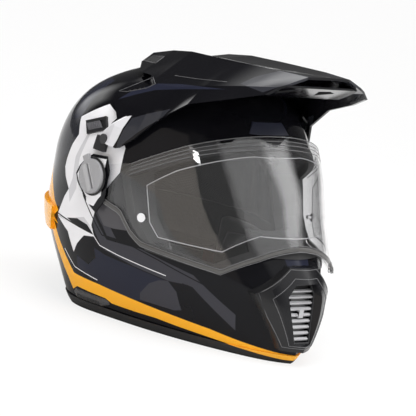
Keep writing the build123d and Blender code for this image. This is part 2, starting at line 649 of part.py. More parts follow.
def strap_x(z):
    """Where the strap's middle lies at a height, clear of the shell's wall at both its edges."""
    edges = (strap_y - strap_width / 2, strap_y + strap_width / 2)
    return min(surface_at(strap_seat, y, z)[0].X for y in edges) - strap_thickness / 2


rivet_start = strap_x(anchor_z) - strap_thickness
rivet_end = surface_at(lining_form, strap_y, anchor_z)[0].X + seat_gap + rivet_sink
strap_path = [(strap_x(anchor_z + anchor_size / 2), anchor_z + anchor_size / 2),
              (strap_x(anchor_z - anchor_size / 2), anchor_z - anchor_size / 2),
              (strap_under_x, strap_under_z + rim_trim_base), (strap_under_x - strap_thickness * 2, strap_under_z),
              (strap_inner_x + strap_thickness * 2, strap_under_z), (strap_inner_x, strap_under_z + strap_thickness * 3),
              (strap_inner_x, strap_end_z)]
stem_socket = rod(knob_stem_radius + running_gap / 2, hub_face - knob_stem_length - running_gap, overrun,
                  pivot_y, pivot_z)


def strap_band(thickness, width):
    """A band along the strap's path."""
    points = stadium(strap_path, thickness)
    face = Face(Wire.make_polygon([(x, strap_y - width / 2, z) for x, z in points], close=True))
    return Solid.extrude(face, Vector(0, width, 0))


strap_room = strap_band(strap_thickness + anchor_thickness * 2 + seat_gap * 4, anchor_size + seat_gap * 2)


def make_straps():
    """Chin strap halves with anchors and rivets, buckle housing, lever and tongue."""
    band = strap_band(strap_thickness, strap_width)
    rivet = rod(rivet_radius, rivet_start, rivet_end, strap_y, anchor_z)
    zone = block((shell_half_width / 2, strap_y - anchor_size / 2, anchor_z - anchor_size / 2),
                 (overrun, strap_y + anchor_size / 2, anchor_z + anchor_size / 2))
    anchor = skin(lining_form, form(-shell_wall - seat_gap - anchor_thickness), zone)
    keep_pair("strap", band - rivet)
    keep_pair("strap_anchor", anchor - rivet)
    keep_pair("strap_rivet", rivet)

    face = strap_inner_x - strap_thickness / 2
    housing = block((face - buckle_depth, strap_y - buckle_width / 2, strap_end_z - buckle_height),
                    (face, strap_y + buckle_width / 2, strap_end_z + strap_thickness))
    channel = block((face - buckle_depth * 2 / 3, strap_y - tongue_width / 2 - seat_gap, strap_end_z - buckle_height),
                    (face - buckle_depth / 3, strap_y + tongue_width / 2 + seat_gap, strap_end_z + strap_thickness))
    keep("buckle_housing", housing - channel)
    lever_face = face - buckle_depth - running_gap
    lever = block((lever_face - lever_thickness, strap_y - lever_width / 2, strap_end_z - lever_length),
                  (lever_face, strap_y + lever_width / 2, strap_end_z))
    grip = block((lever_face - 2 * lever_thickness, strap_y - lever_width / 2, strap_end_z - lever_length),
                 (lever_face, strap_y + lever_width / 2, strap_end_z - lever_length + lever_thickness))
    barrel = Pos(lever_face - lever_thickness / 2, strap_y, strap_end_z) * Rot(90, 0, 0) \
        * Cylinder(lever_thickness / 2, lever_width)
    keep("buckle_lever", lever + grip + barrel)
    tongue = block((-face, strap_y - tongue_width / 2, strap_end_z - tongue_length / 2),
                   (-face + tongue_thickness, strap_y + tongue_width / 2, strap_end_z + tongue_length / 2))
    keep("buckle_tongue", tongue)


temple_pocket = make_temple_vents()
vent_room = make_chin_vent()
make_shell(vent_room)
make_visor()
make_pivots()
make_peak()
make_linings(vent_room)
make_straps()

os.makedirs("parts", exist_ok=True)
for name, shape in parts.items():
    export_step(shape, f"parts/{name}.step")
everything = Compound(list(parts.values())).bounding_box()
print("nodes", len(parts))
print("box", everything.min, everything.max)
print("hub face", hub_face, "pivot", pivot_y, pivot_z)
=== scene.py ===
"""Dual sport helmet: the looks of a full-face helmet, built around its CAD frame.

Everything is in metres in the row frame: the helmet stands on z = 0, faces -Y, and the wearer's
right is -X. Points given in millimetres are turned into metres by MM.
"""
from __future__ import annotations

import logging
import math
from dataclasses import dataclass, field
from enum import Enum
from itertools import combinations
from typing import Any, Iterable, Mapping, Optional, Sequence, Tuple, Union

import bmesh
import bpy
from mathutils import Matrix, Vector
from mathutils.bvhtree import BVHTree

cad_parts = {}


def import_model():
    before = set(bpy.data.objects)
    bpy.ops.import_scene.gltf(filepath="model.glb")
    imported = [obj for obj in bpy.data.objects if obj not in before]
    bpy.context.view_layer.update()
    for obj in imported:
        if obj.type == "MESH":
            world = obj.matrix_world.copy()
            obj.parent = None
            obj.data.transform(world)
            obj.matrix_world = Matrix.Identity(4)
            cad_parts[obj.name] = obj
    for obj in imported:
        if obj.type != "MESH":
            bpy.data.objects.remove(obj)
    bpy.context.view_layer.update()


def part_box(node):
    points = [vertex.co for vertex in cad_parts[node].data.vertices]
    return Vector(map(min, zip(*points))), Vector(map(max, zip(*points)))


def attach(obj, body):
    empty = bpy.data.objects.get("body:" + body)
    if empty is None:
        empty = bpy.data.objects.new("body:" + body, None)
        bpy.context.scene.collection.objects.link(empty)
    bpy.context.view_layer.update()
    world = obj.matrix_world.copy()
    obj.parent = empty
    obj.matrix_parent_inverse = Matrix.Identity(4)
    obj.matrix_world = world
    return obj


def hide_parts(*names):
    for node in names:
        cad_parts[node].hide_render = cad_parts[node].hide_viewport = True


LOG = logging.getLogger("helmet")
MM = 0.001
FAR = 0.4
PLATE_THICKNESS = 0.3
PLATE_EDGE_SINK = 0.4
RGB = Tuple[float, float, float]
Point2 = Tuple[float, float]
Point3 = Tuple[float, float, float]
Link = Union["Value", bpy.types.NodeSocket, float, int, Sequence[float]]


# Shader maths

class Graph:
    """A material's node tree, where one method makes every node."""

    def __init__(self, tree: bpy.types.NodeTree) -> None:
        """Starts from an empty tree.

        Args:
            tree: the node tree of a material or a world.
        """
        self.tree = tree
        tree.nodes.clear()

    def node(self, kind: str, settings: Optional[Mapping[str, Any]] = None,
             sockets: Optional[Mapping[Union[str, int], Link]] = None) -> bpy.types.Node:
        """Makes a node.

        Args:
            kind: the node's type, such as ShaderNodeMath.
            settings: attributes set first; "stops" fills a colour ramp.
            sockets: values or links for its input sockets, by name or index.

        Returns:
            The node.
        """
        made = self.tree.nodes.new(kind)
        for name, value in (settings or {}).items():
            if name == "stops":
                self._fill_ramp(made.color_ramp, value)
            else:
                setattr(made, name, value)
        for name, value in (sockets or {}).items():
            socket = made.inputs[name]
            if isinstance(value, Value):
                value = value.socket
            if isinstance(value, bpy.types.NodeSocket):
                self.tree.links.new(value, socket)
            else:
                socket.default_value = value
        return made

    @staticmethod
    def _fill_ramp(ramp: bpy.types.ColorRamp, stops: Sequence[Tuple[float, RGB]]) -> None:
        """Sets a ramp's stops.

        Args:
            ramp: the ramp of a colour ramp node.
            stops: positions and colours.
        """
        while len(ramp.elements) < len(stops):
            ramp.elements.new(1.0)
        for element, (place, colour) in zip(ramp.elements, stops):
            element.position = place
            element.color = (*colour, 1.0)

    def value(self, socket: bpy.types.NodeSocket) -> "Value":
        """Wraps an output socket as a value for expressions."""
        return Value(self, socket)

    def mix(self, mask: Link, first: Link, second: Link) -> bpy.types.NodeSocket:
        """Mixes two colours by a mask.

        Args:
            mask: 0 keeps the first colour, 1 gives the second.
            first: the colour under the mask.
            second: the colour where the mask is 1.

        Returns:
            The mixed colour's socket.
        """
        def full(colour: Link) -> Link:
            """Adds the alpha that a plain colour lacks."""
            if isinstance(colour, (tuple, list)) and len(colour) == 3:
                return (*colour, 1.0)
            return colour
        made = self.node("ShaderNodeMix", {"data_type": "RGBA"},
                         {0: mask, 6: full(first), 7: full(second)})
        return made.outputs[2]


class Value:
    """A number in a node tree, with Python's operators."""

    def __init__(self, graph: Graph, socket: bpy.types.NodeSocket) -> None:
        """Wraps an output socket of a graph."""
        self.graph = graph
        self.socket = socket

    def _math(self, operation: str, *operands: Link, clamp: bool = False) -> "Value":
        """Adds a Math node.

        Args:
            operation: the node's operation.
            *operands: its inputs, in order.
            clamp: whether the result is held between 0 and 1.

        Returns:
            The result.
        """
        made = self.graph.node("ShaderNodeMath", {"operation": operation, "use_clamp": clamp},
                               dict(enumerate(operands)))
        return Value(self.graph, made.outputs[0])

    def __add__(self, other: Link) -> "Value":
        """The sum."""
        return self._math("ADD", self, other)

    __radd__ = __add__

    def __sub__(self, other: Link) -> "Value":
        """The difference."""
        return self._math("SUBTRACT", self, other)

    def __rsub__(self, other: Link) -> "Value":
        """The difference, taken from a number."""
        return self._math("SUBTRACT", other, self)

    def __mul__(self, other: Link) -> "Value":
        """The product."""
        return self._math("MULTIPLY", self, other)

    __rmul__ = __mul__

    def __truediv__(self, other: Link) -> "Value":
        """The quotient."""
        return self._math("DIVIDE", self, other)

    def __pow__(self, other: Link) -> "Value":
        """The power."""
        return self._math("POWER", self, other)

    def __neg__(self) -> "Value":
        """The value with its sign changed."""
        return self._math("MULTIPLY", self, -1.0)

    def __abs__(self) -> "Value":
        """The value without its sign."""
        return self._math("ABSOLUTE", self)

    def least(self, other: Link) -> "Value":
        """The lesser of two values."""
        return self._math("MINIMUM", self, other)

    def most(self, other: Link) -> "Value":
        """The greater of two values."""
        return self._math("MAXIMUM", self, other)

    def sine(self) -> "Value":
        """The sine of the value, in radians."""
        return self._math("SINE", self)

    def clamped(self) -> "Value":
        """The value held between 0 and 1."""
        return self._math("ADD", self, 0.0, clamp=True)


def turn_of(a: Point2, b: Point2, c: Point2) -> float:
    """Twice the signed area of a triangle, above 0 where it turns left."""
    return (b[0] - a[0]) * (c[1] - a[1]) - (b[1] - a[1]) * (c[0] - a[0])


def ears(points: Sequence[Point2]) -> list[list[Point2]]:
    """Cuts an outline into triangles.

    Args:
        points: the outline's corners, either way round.

    Returns:
        Triangles that turn left.
    """
    around = zip(points, list(points[1:]) + [points[0]])
    signed = sum(a[0] * b[1] - b[0] * a[1] for a, b in around)
    left = list(points) if signed > 0 else list(points)[::-1]
    found = []
    while len(left) > 3:
        for i, b in enumerate(left):
            a, c = left[i - 1], left[(i + 1) % len(left)]
            others = [p for p in left if p not in (a, b, c)]
            inside = [p for p in others
                      if turn_of(a, b, p) >= 0 and turn_of(b, c, p) >= 0 and turn_of(c, a, p) >= 0]
            if turn_of(a, b, c) > 0 and not inside:
                found.append([a, b, c])
                del left[i]
                break
        else:
            break
    found.append(left)
    return found


def joined(first: list[Point2], second: list[Point2]) -> Optional[list[Point2]]:
    """Joins two outlines over an edge that they share.

    Args:
        first: an outline that turns left.
        second: another.

    Returns:
        The joined outline, or None where it would not be convex.
    """
    for i, a in enumerate(first):
        b = first[(i + 1) % len(first)]
        for j, start in enumerate(second):
            if start == b and second[(j + 1) % len(second)] == a:
                whole = first[i + 1:] + first[:i + 1] + (second[j + 1:] + second[:j + 1])[1:-1]
                turns = [turn_of(whole[k - 2], whole[k - 1], whole[k]) for k in range(len(whole))]
                if min(turns) >= 0:
                    return whole
    return None


def convex_parts(points: Sequence[Point2]) -> list[list[Point2]]:
    """Cuts an outline into convex parts.

    Args:
        points: the outline's corners, either way round.

    Returns:
        Convex outlines that turn left.
    """
    parts = ears(points)
    again = True
    while again:
        again = False
        for first, second in combinations(parts, 2):
            whole = joined(first, second)
            if whole:
                parts = [part for part in parts if part is not first and part is not second] + [whole]
                again = True
                break
    return parts


class Place:
    """Where a shaded point lies, in the frame's own coordinates."""

    outward_gain = 20.0 / MM

    def __init__(self, graph: Graph) -> None:
        """Reads object coordinates, which are the row frame's at rest.

        Args:
            graph: the material's graph.
        """
        self.graph = graph
        coordinates = graph.node("ShaderNodeTexCoord")
        self.vector = coordinates.outputs["Object"]
        self.normal = coordinates.outputs["Normal"]
        split = graph.node("ShaderNodeSeparateXYZ", None, {0: self.vector})
        self.x = graph.value(split.outputs[0])
        self.y = graph.value(split.outputs[1])
        self.z = graph.value(split.outputs[2])

    def along(self, direction: Point3) -> Value:
        """How far the point lies along a direction.

        Args:
            direction: the direction, whose length scales the result.

        Returns:
            The distance.
        """
        dot = self.graph.node("ShaderNodeVectorMath", {"operation": "DOT_PRODUCT"},
                              {0: self.vector, 1: direction})
        return self.graph.value(dot.outputs["Value"])

    def facing_out(self, centre: Point3) -> Value:
        """A mask for the outside of a wall.

        Args:
            centre: a point inside, in mm.

        Returns:
            The mask, 1 where the surface looks away from the centre.
        """
        away = self.graph.node("ShaderNodeVectorMath", {"operation": "SUBTRACT"},
                               {0: self.vector, 1: tuple(c * MM for c in centre)})
        dot = self.graph.node("ShaderNodeVectorMath", {"operation": "DOT_PRODUCT"},
                              {0: away.outputs[0], 1: self.normal})
        return (self.graph.value(dot.outputs["Value"]) * self.outward_gain).clamped()

    def outline(self, points: Sequence[Point2], edge: float = 0.4, front: bool = False) -> Value:
        """A mask that is 1 inside an outline drawn in the side view or the front view.

        Args:
            points: the outline's corners in mm, (y, z), or (x, z) in the front view.
            edge: the soft edge's width in mm.
            front: whether the outline is drawn in the front view.

        Returns:
            The mask.
        """
        total: Optional[Value] = None
        for part in convex_parts(points):
            depth: Optional[Value] = None
            for (ay, az), (by, bz) in zip(part, part[1:] + part[:1]):
                length = math.hypot(by - ay, bz - az)
                ny, nz = (az - bz) / length, (by - ay) / length
                across = ny / MM / edge
                axis = (across, 0.0, nz / MM / edge) if front else (0.0, across, nz / MM / edge)
                inward = self.along(axis) - (ay * ny + az * nz) / edge
                depth = inward if depth is None else depth.least(inward)
            mask = (depth + 0.5).clamped()
            total = mask if total is None else (total + mask).clamped()
        return total

    def band(self, path: Sequence[Point2], width: float) -> Value:
        """A mask along a line of the side view.

        Args:
            path: the line's points in mm, (y, z).
            width: the band's width in mm.

        Returns:
            The mask.
        """
        mask: Optional[Value] = None
        for (ay, az), (by, bz) in zip(path, path[1:]):
            length = math.hypot(by - ay, bz - az)
            ny, nz = (az - bz) / length * width / 2, (by - ay) / length * width / 2
            ty, tz = (by - ay) / length * width / 4, (bz - az) / length * width / 4
            quad = [(ay + ny - ty, az + nz - tz), (by + ny + ty, bz + nz + tz),
                    (by - ny + ty, bz - nz + tz), (ay - ny - ty, az - nz - tz)]
            part = self.outline(quad, edge=0.3)
            mask = part if mask is None else mask.most(part)
        return mask


# Finishes

def new_material(name: str) -> Tuple[bpy.types.Material, Graph]:
    """Makes a material.

    Args:
        name: its name.

    Returns:
        The material and its empty graph.
    """
    made = bpy.data.materials.new(name)
    made.use_nodes = True
    return made, Graph(made.node_tree)


class Grain(Enum):
    """The small-scale surface of a finish."""

    NONE = "none"
    MOULDED = "moulded"
    WEAVE = "weave"
    KNIT = "knit"
    BRUSHED = "brushed"
    BEADS = "beads"
    MESH = "mesh"


@dataclass(frozen=True)
class Finish:
    """A surface finish with its grain and slight variation."""

    name: str
    colour: RGB
    roughness: float = 0.5
    metallic: float = 0.0
    ior: float = 1.5
    grain: Grain = Grain.NONE
    grain_size: float = 1.0
    grain_depth: float = 0.05
    variation: float = 0.08

    def surface_colour(self, graph: Graph, place: Place) -> bpy.types.NodeSocket:
        """The base colour, with slight variation over the surface.

        Args:
            graph: the material's graph.
            place: the shaded point.

        Returns:
            The colour's socket.
        """
        cloud = graph.node("ShaderNodeTexNoise", None,
                           {"Vector": place.vector, "Scale": 60.0, "Detail": 3.0})
        dark = tuple(c * (1 - self.variation) for c in self.colour)
        light = tuple(min(1.0, c * (1 + self.variation)) for c in self.colour)
        return graph.mix(graph.value(cloud.outputs[0]), dark, light)

    def grain_height(self, graph: Graph, place: Place) -> Optional[Value]:
        """The grain's height, from 0 to 1.

        Args:
            graph: the material's graph.
            place: the shaded point.

        Returns:
            The height, or None for a smooth finish.
        """
        size = self.grain_size * MM
        field_at: dict[Union[str, int], Link] = {"Vector": place.vector, "Scale": 1 / size}
        if self.grain is Grain.NONE:
            return None
        if self.grain is Grain.MOULDED:
            made = graph.node("ShaderNodeTexVoronoi", {"feature": "SMOOTH_F1"},
                              {**field_at, "Smoothness": 0.6})
            return graph.value(made.outputs["Distance"])
        if self.grain is Grain.BEADS:
            made = graph.node("ShaderNodeTexVoronoi", {"feature": "F1"}, field_at)
            return 1.0 - graph.value(made.outputs["Distance"])
        if self.grain is Grain.BRUSHED:
            made = graph.node("ShaderNodeTexNoise", None, {**field_at, "Detail": 2.0})
            return graph.value(made.outputs[0])
        turn = 2 * math.pi / size
        along, over = place.y + place.x, place.z + place.x * 0.5
        if self.grain is Grain.KNIT:
            return ((along * turn).sine() * (over * turn * 0.5).sine()) * 0.5 + 0.5
        if self.grain is Grain.MESH:
            return ((place.x * turn).sine().most((place.z * turn).sine())) * 0.5 + 0.5
        ribs = (along * turn).sine() * (over * turn).sine()
        return ribs * 0.5 + 0.5

    def material(self) -> bpy.types.Material:
        """Builds the finish as a material.

        Returns:
            The material.
        """
        made, graph = new_material(self.name)
        place = Place(graph)
        sockets: dict[Union[str, int], Link] = {
            "Base Color": self.surface_colour(graph, place),
            "Roughness": self.roughness, "Metallic": self.metallic, "IOR": self.ior,
        }
        height = self.grain_height(graph, place)
        if height is not None:
            bump = graph.node("ShaderNodeBump", None,
                              {"Strength": 0.6, "Distance": self.grain_depth * MM, "Height": height})
            sockets["Normal"] = bump.outputs[0]
        shader = graph.node("ShaderNodeBsdfPrincipled", None, sockets)
        self.dress(graph, shader)
        graph.node("ShaderNodeOutputMaterial", None, {0: shader.outputs[0]})
        return made

    def dress(self, graph: Graph, shader: bpy.types.Node) -> None:
        """Lets a kind of finish set more of the shader; a plain finish sets nothing."""


@dataclass(frozen=True)
class Cloth(Finish):
    """A finish of fabric, with sheen."""

    sheen: float = 0.5

    def dress(self, graph: Graph, shader: bpy.types.Node) -> None:
        """Adds the sheen of short fibres."""
        shader.inputs["Sheen Weight"].default_value = self.sheen
        shader.inputs["Sheen Roughness"].default_value = 0.5


@dataclass(frozen=True)
class Area:
    """A painted area: outlines and lines in the side view that share a colour."""

    colour: RGB
    outlines: Tuple[Tuple[Point2, ...], ...] = ()
    lines: Tuple[Tuple[Tuple[Point2, ...], float], ...] = ()
    least_x: float = 0.0
    front: bool = False

    def mask(self, place: Place) -> Value:
        """The area's mask over the surface.

        Args:
            place: the shaded point.

        Returns:
            The mask.
        """
        found: list[Value] = [place.outline(points, front=self.front) for points in self.outlines]
        found += [place.band(path, width) for path, width in self.lines]
        mask = found[0]
        for other in found[1:]:
            mask = mask.most(other)
        if self.least_x:
            mask = mask * ((abs(place.x) - self.least_x * MM) * (1 / MM)).clamped()
        return mask


@dataclass(frozen=True)
class Lacquer(Finish):
    """Glossy paint over a moulded shell, in several colours."""

    areas: Tuple[Area, ...] = ()
    centre: Optional[Point3] = None

    def surface_colour(self, graph: Graph, place: Place) -> bpy.types.NodeSocket:
        """The base colour with the painted areas over it, in order.

        Args:
            graph: the material's graph.
            place: the shaded point.

        Returns:
            The colour's socket.
        """
        bare = super().surface_colour(graph, place)
        colour = bare
        for area in self.areas:
            colour = graph.mix(area.mask(place), colour, area.colour)
        if self.centre is not None:
            colour = graph.mix(place.facing_out(self.centre), bare, colour)
        return colour


@dataclass(frozen=True)
class ClearPlastic:
    """Thin clear plastic: it shows what is behind it and mirrors what is in front."""

    name: str
    tint: RGB = (0.962, 0.962, 0.965)
    ior: float = 1.5

    def material(self) -> bpy.types.Material:
        """Builds the plastic as a transparent and a glossy shader, mixed by the viewing angle.

        Returns:
            The material.
        """
        made, graph = new_material(self.name)
        away = graph.value(graph.node("ShaderNodeLayerWeight", None, {"Blend": 0.5}).outputs["Facing"])
        straight = ((self.ior - 1) / (self.ior + 1)) ** 2
        fresnel = away ** 5 * (1 - straight) + straight
        clear = graph.node("ShaderNodeBsdfTransparent", None, {0: (*self.tint, 1.0)})
        gloss = graph.node("ShaderNodeBsdfPrincipled", None,
                           {"Base Color": (1.0, 1.0, 1.0, 1.0), "Metallic": 1.0, "Roughness": 0.03})
        mixed = graph.node("ShaderNodeMixShader", None,
                           {0: fresnel.clamped(), 1: clear.outputs[0], 2: gloss.outputs[0]})
        graph.node("ShaderNodeOutputMaterial", None, {0: mixed.outputs[0]})
        return made


BLACK: RGB = (0.0045, 0.0045, 0.006)
NAVY: RGB = (0.016, 0.018, 0.032)
CHARCOAL: RGB = (0.026, 0.027, 0.033)
SLATE: RGB = (0.042, 0.042, 0.051)
GREY: RGB = (0.085, 0.083, 0.09)
WHITE: RGB = (0.84, 0.84, 0.87)
SHADE: RGB = (0.62, 0.62, 0.65)
ORANGE: RGB = (0.98, 0.46, 0.027)


BAND_FRONT: Tuple[Point2, ...] = (
    (-106, 20), (-127, 15.5), (-145, 12.5), (-160, 10), (-180, 8), (-180, 3), (-160, 4), (-145, 6), (-127, 8),
    (-105, 11),
)


def shell_areas() -> Tuple[Area, ...]:
    """The painted areas of the shell, from the lowest layer up.

    Returns:
        The areas.
    """
    crown_rear = Area(CHARCOAL, outlines=(
        ((76, 186), (77, 187), (106, 207), (118, 205), (150, 160), (128, 120), (102, 130), (99, 139),
         (79, 149), (68, 171)),
    ))
    crown_band = Area(NAVY, outlines=(
        ((93, 181), (106, 207), (90, 226), (73, 226), (77, 187)),
    ))
    cheek_band = Area(SLATE, outlines=(
        ((36, 119), (30, 116), (-3, 82), (-43, 83), (-93, 71), (-129, 41), (-128, 25), (-93, 59),
         (-88, 60), (-71, 59), (-35, 64), (1, 72), (12, 85), (19, 98)),
    ))
    cheek = Area(NAVY, outlines=(
        ((16, 71), (-2, 66), (-35, 63), (-71, 58), (-78, 48), (-81, 33), (-31, 29), (1, 32), (37, 44),
         (37, 60)),
    ))
    # Painted highlight: these slate patches on the black cheek stand in for reflections in the gloss.
    cheek_painted_highlight = Area(SLATE, outlines=(
        ((-61, 57), (-70, 59), (-78, 50), (-81, 32), (-74, 30), (-39, 31), (-40, 38), (-51, 51)),
        ((-3, 86), (4, 95), (30, 116), (26, 126), (6, 112), (-2, 100), (-14, 86)),
    ))
    white = Area(WHITE, least_x=60.0, outlines=(
        ((76, 184), (77, 187), (49, 204), (42, 208), (25, 203), (14, 196), (-4, 174), (-6, 150), (8, 128),
         (15, 112), (18, 91), (13, 81), (23, 80), (41, 86), (60, 87), (78, 88), (70, 107), (64, 116),
         (75, 126), (80, 135), (79, 144), (75, 159), (68, 171)),
        ((78, 85), (60, 87), (54, 75), (42, 57), (37, 67), (27, 78), (14, 80.5), (40, 84)),
    ))
    shade = Area(SHADE, least_x=60.0, outlines=(
        ((64, 116), (60, 128), (62, 150), (52, 176), (48, 176), (54, 150), (50, 120), (58, 104)),
        ((41, 86), (60, 87), (30, 96), (16, 88), (14, 82)),
    ))
    # Painted reflection: a grey patch below the knob stands in for a reflection on the gloss.
    grey_painted_reflection = Area(GREY, least_x=60.0, outlines=(
        ((29, 121), (16, 116), (0, 114), (-14, 111), (-20, 105), (-25, 97), (-10, 95), (2, 95), (12, 106)),
    ))
    chin = Area(NAVY, front=True, outlines=(
        ((-14, 92), (-16, 101), (-9, 107), (9, 107), (16, 101), (14, 92), (9, 95.5), (-9, 95.5)),
    ))
    spike = Area(BLACK, least_x=60.0, outlines=(
        ((84, 136), (75, 126), (64, 116), (71, 108), (90, 112)),
        ((13, 82), (24, 90), (40, 92), (58, 88), (41, 84.5)),
        ((42, 57), (37, 67), (27, 78), (14, 79), (10, 60), (20, 50)),
    ))
    pinstripe = Area(WHITE, least_x=30.0, lines=(
        (((78, 86), (41, 84), (13, 81)), 0.9),
        (((28, 102), (13, 81), (5, 74), (-18, 70), (-68, 63.5)), 0.8),
        (((59, 56), (41, 42), (10, 37)), 0.9),
    ))
    # Painted shade: these black lines stand in for the shade in creases of the moulding.
    crease = Area(BLACK, least_x=30.0, lines=(
        (((50, 141), (36, 116), (3, 85), (-30, 84), (-60, 77), (-116, 60)), 1.2),
        (((-84, 60), (-93, 57), (-124, 28)), 1.0),
        (((40, 140), (40, 132), (28, 118), (4, 93), (-3, 84)), 1.4),
    ))
    orange = Area(ORANGE, outlines=(
        ((93, 98), (79, 90), (90, 82), (76, 77), (88, 78), (43, 35), (9, 33), (-28, 29), (-55, 26), (-82, 23),
         *BAND_FRONT, (-72, 14), (-53, 16), (-30, 16), (-4, 16.5), (3, 20), (40, 22), (48, 17), (55, 27),
         (79, 52), (99, 73), (130, 76), (178, 60), (178, 128), (130, 130), (104, 108)),
    ))
    return (crown_rear, crown_band, cheek_band, cheek, cheek_painted_highlight, grey_painted_reflection, chin, white, shade, spike, orange,
            pinstripe, crease)


def peak_areas() -> Tuple[Area, ...]:
    """The painted areas of the peak, from the lowest layer up.

    Returns:
        The areas.
    """
    # Painted shade: the arm's white paint is given in the darker SHADE tone, a shaded copy of the white.
    arm_shaded_white = Area(SHADE, least_x=60.0, outlines=(
        ((34, 172), (30, 182), (16, 193), (6, 203), (-1, 206), (1, 181), (3, 172)),
    ))
    arm_navy = Area(CHARCOAL, least_x=60.0, outlines=(
        ((0, 181), (-3, 204), (-23, 215), (-38, 222), (-34, 213), (-22, 200), (-7, 179), (-2, 172)),
    ))
    stripe = Area(NAVY, least_x=40.0, outlines=(
        ((27, 216), (22, 226), (-1, 239), (-30, 245), (-83, 252), (-35, 241), (-4, 233), (14, 224)),
    ))
    # Painted highlight: a charcoal patch near the peak's front stands in for a reflection on the black
    # lacquer.
    peak_painted_highlight = Area(CHARCOAL, least_x=20.0, outlines=(
        ((-96, 268), (-92, 260), (-126, 259), (-142, 272), (-142, 280), (-113, 280)),
    ))
    lines = Area(WHITE, least_x=60.0, lines=((((32, 177), (16, 192), (4, 204)), 0.8),))
    gap = Area(BLACK, least_x=60.0, lines=((((1, 174), (0, 182), (-2, 206)), 1.4),))
    return arm_shaded_white, arm_navy, stripe, peak_painted_highlight, gap, lines


RIM_AREAS: Tuple[Area, ...] = (Area(ORANGE, outlines=((*BAND_FRONT, (-95, 12), (-95, 16)),)),)
# Painted shade: the funnel inside the lip's outline is painted black, darker than the frame, for the shade in
# the recess.
VENT_AREAS: Tuple[Area, ...] = (Area(BLACK, front=True, outlines=(
    ((-15.1, 96.8), (-37, 73), (-15.1, 22), (15.1, 22), (37, 73), (15.1, 96.8)),
)),)
COVER_AREAS: Tuple[Area, ...] = (Area(WHITE, outlines=(
    ((7, 160), (26, 158), (33, 152.5), (40, 144), (43.5, 136.5), (39, 130), (24, 118), (22, 112), (12, 112),
     (8, 120), (5, 124)),
)),)


# Frame and surfaces

class Skin:
    """The surface of a CAD node, for placing things on it."""

    def __init__(self, node: str) -> None:
        """Reads the node's mesh.

        Args:
            node: the CAD node's name.
        """
        self.tree = BVHTree.FromObject(bpy.data.objects[node], bpy.context.evaluated_depsgraph_get())

    def cast(self, origin: Vector, way: Vector, proud: float) -> Optional[Vector]:
        """The first point that a ray meets.

        Args:
            origin: the ray's start, in metres.
            way: its direction.
            proud: how far outside the surface, in mm.

        Returns:
            The point in metres, or None where there is none.
        """
        hit, normal, _, _ = self.tree.ray_cast(origin, way)
        if hit is None:
            return None
        return hit + (normal if normal.dot(way) <= 0 else -normal) * proud * MM

    def side(self, y: float, z: float, proud: float = 0.0, sign: int = 1) -> Optional[Vector]:
        """The outermost point at (y, z) in mm on one side, where sign is 1 for +X and -1 for -X."""
        return self.cast(Vector((sign * FAR, y * MM, z * MM)), Vector((-sign, 0, 0)), proud)

    def front(self, x: float, z: float, proud: float = 0.0) -> Optional[Vector]:
        """The foremost point at (x, z) in mm."""
        return self.cast(Vector((x * MM, -FAR, z * MM)), Vector((0, 1, 0)), proud)

    def around(self, azimuth: float, z: float, centre_y: float, proud: float = 0.0) -> Optional[Vector]:
        """The outermost point at a height, seen from an azimuth.

        Args:
            azimuth: in degrees from the front, towards +X.
            z: in mm.
            centre_y: the y of the axis that azimuths are measured about, in mm.
            proud: how far outside the surface, in mm.

        Returns:
            The point in metres, or None where there is none.
        """
        out = Vector((math.sin(math.radians(azimuth)), -math.cos(math.radians(azimuth)), 0.0))
        return self.cast(Vector((0.0, centre_y * MM, z * MM)) + out * FAR, -out, proud)


def walked(corners: Sequence[Point2], steps: int, closed: bool = True) -> list[Point2]:
    """Evenly spaced points along a path.

    Args:
        corners: its corners.
        steps: how many points there are from each corner towards the next.
        closed: whether the path meets its start.

    Returns:
        The points.
    """
    ahead = list(corners[1:]) + ([corners[0]] if closed else [])
    return [(a + (c - a) * k / steps, b + (d - b) * k / steps)
            for (a, b), (c, d) in zip(corners, ahead) for k in range(steps)]


def finish_node(name: str, material: bpy.types.Material) -> None:
    """Gives a CAD node one material on all its slots.

    Args:
        name: the CAD node's name.
        material: its finish.
    """
    mesh = bpy.data.objects[name].data
    if not mesh.materials:
        mesh.materials.append(material)
    for index in range(len(mesh.materials)):
        mesh.materials[index] = material


def placed(name: str, data: bpy.types.ID) -> bpy.types.Object:
    """Makes an object and links it to the scene.

    Args:
        name: its name.
        data: its mesh, camera or light.

    Returns:
        The object.
    """
    made = bpy.data.objects.new(name, data)
    bpy.context.scene.collection.objects.link(made)
    return made


def new_piece(name: str, mesh: bpy.types.Mesh, material: bpy.types.Material, body: str) -> bpy.types.Object:
    """Adds a piece of the scene's own to the object.

    Args:
        name: the piece's name.
        mesh: its mesh, in the row frame.
        material: its finish.
        body: the CAD body it rides on.

    Returns:
        The piece.
    """
    made = placed(name, mesh)
    mesh.materials.clear()
    mesh.materials.append(material)
    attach(made, body)
    return made


def smooth_mesh(name: str, builder: bmesh.types.BMesh, smooth: bool = True) -> bpy.types.Mesh:
    """Turns a bmesh into a mesh and frees it.

    Args:
        name: the mesh's name.
        builder: the bmesh.
        smooth: whether its faces are shaded smooth.

    Returns:
        The mesh.
    """
    bmesh.ops.recalc_face_normals(builder, faces=builder.faces)
    mesh = bpy.data.meshes.new(name)
    builder.to_mesh(mesh)
    builder.free()
    for face in mesh.polygons:
        face.use_smooth = smooth
    return mesh


def add_box(builder: bmesh.types.BMesh, centre: Vector, axes: Sequence[Vector], size: Point3) -> None:
    """Adds a box to a bmesh.

    Args:
        builder: the bmesh.
        centre: its middle, in metres.
        axes: its three directions.
        size: its three sides in mm.
    """
    matrix = Matrix([axis * side * MM for axis, side in zip(axes, size)]).transposed().to_4x4()
    bmesh.ops.create_cube(builder, size=1.0, matrix=Matrix.Translation(centre) @ matrix)


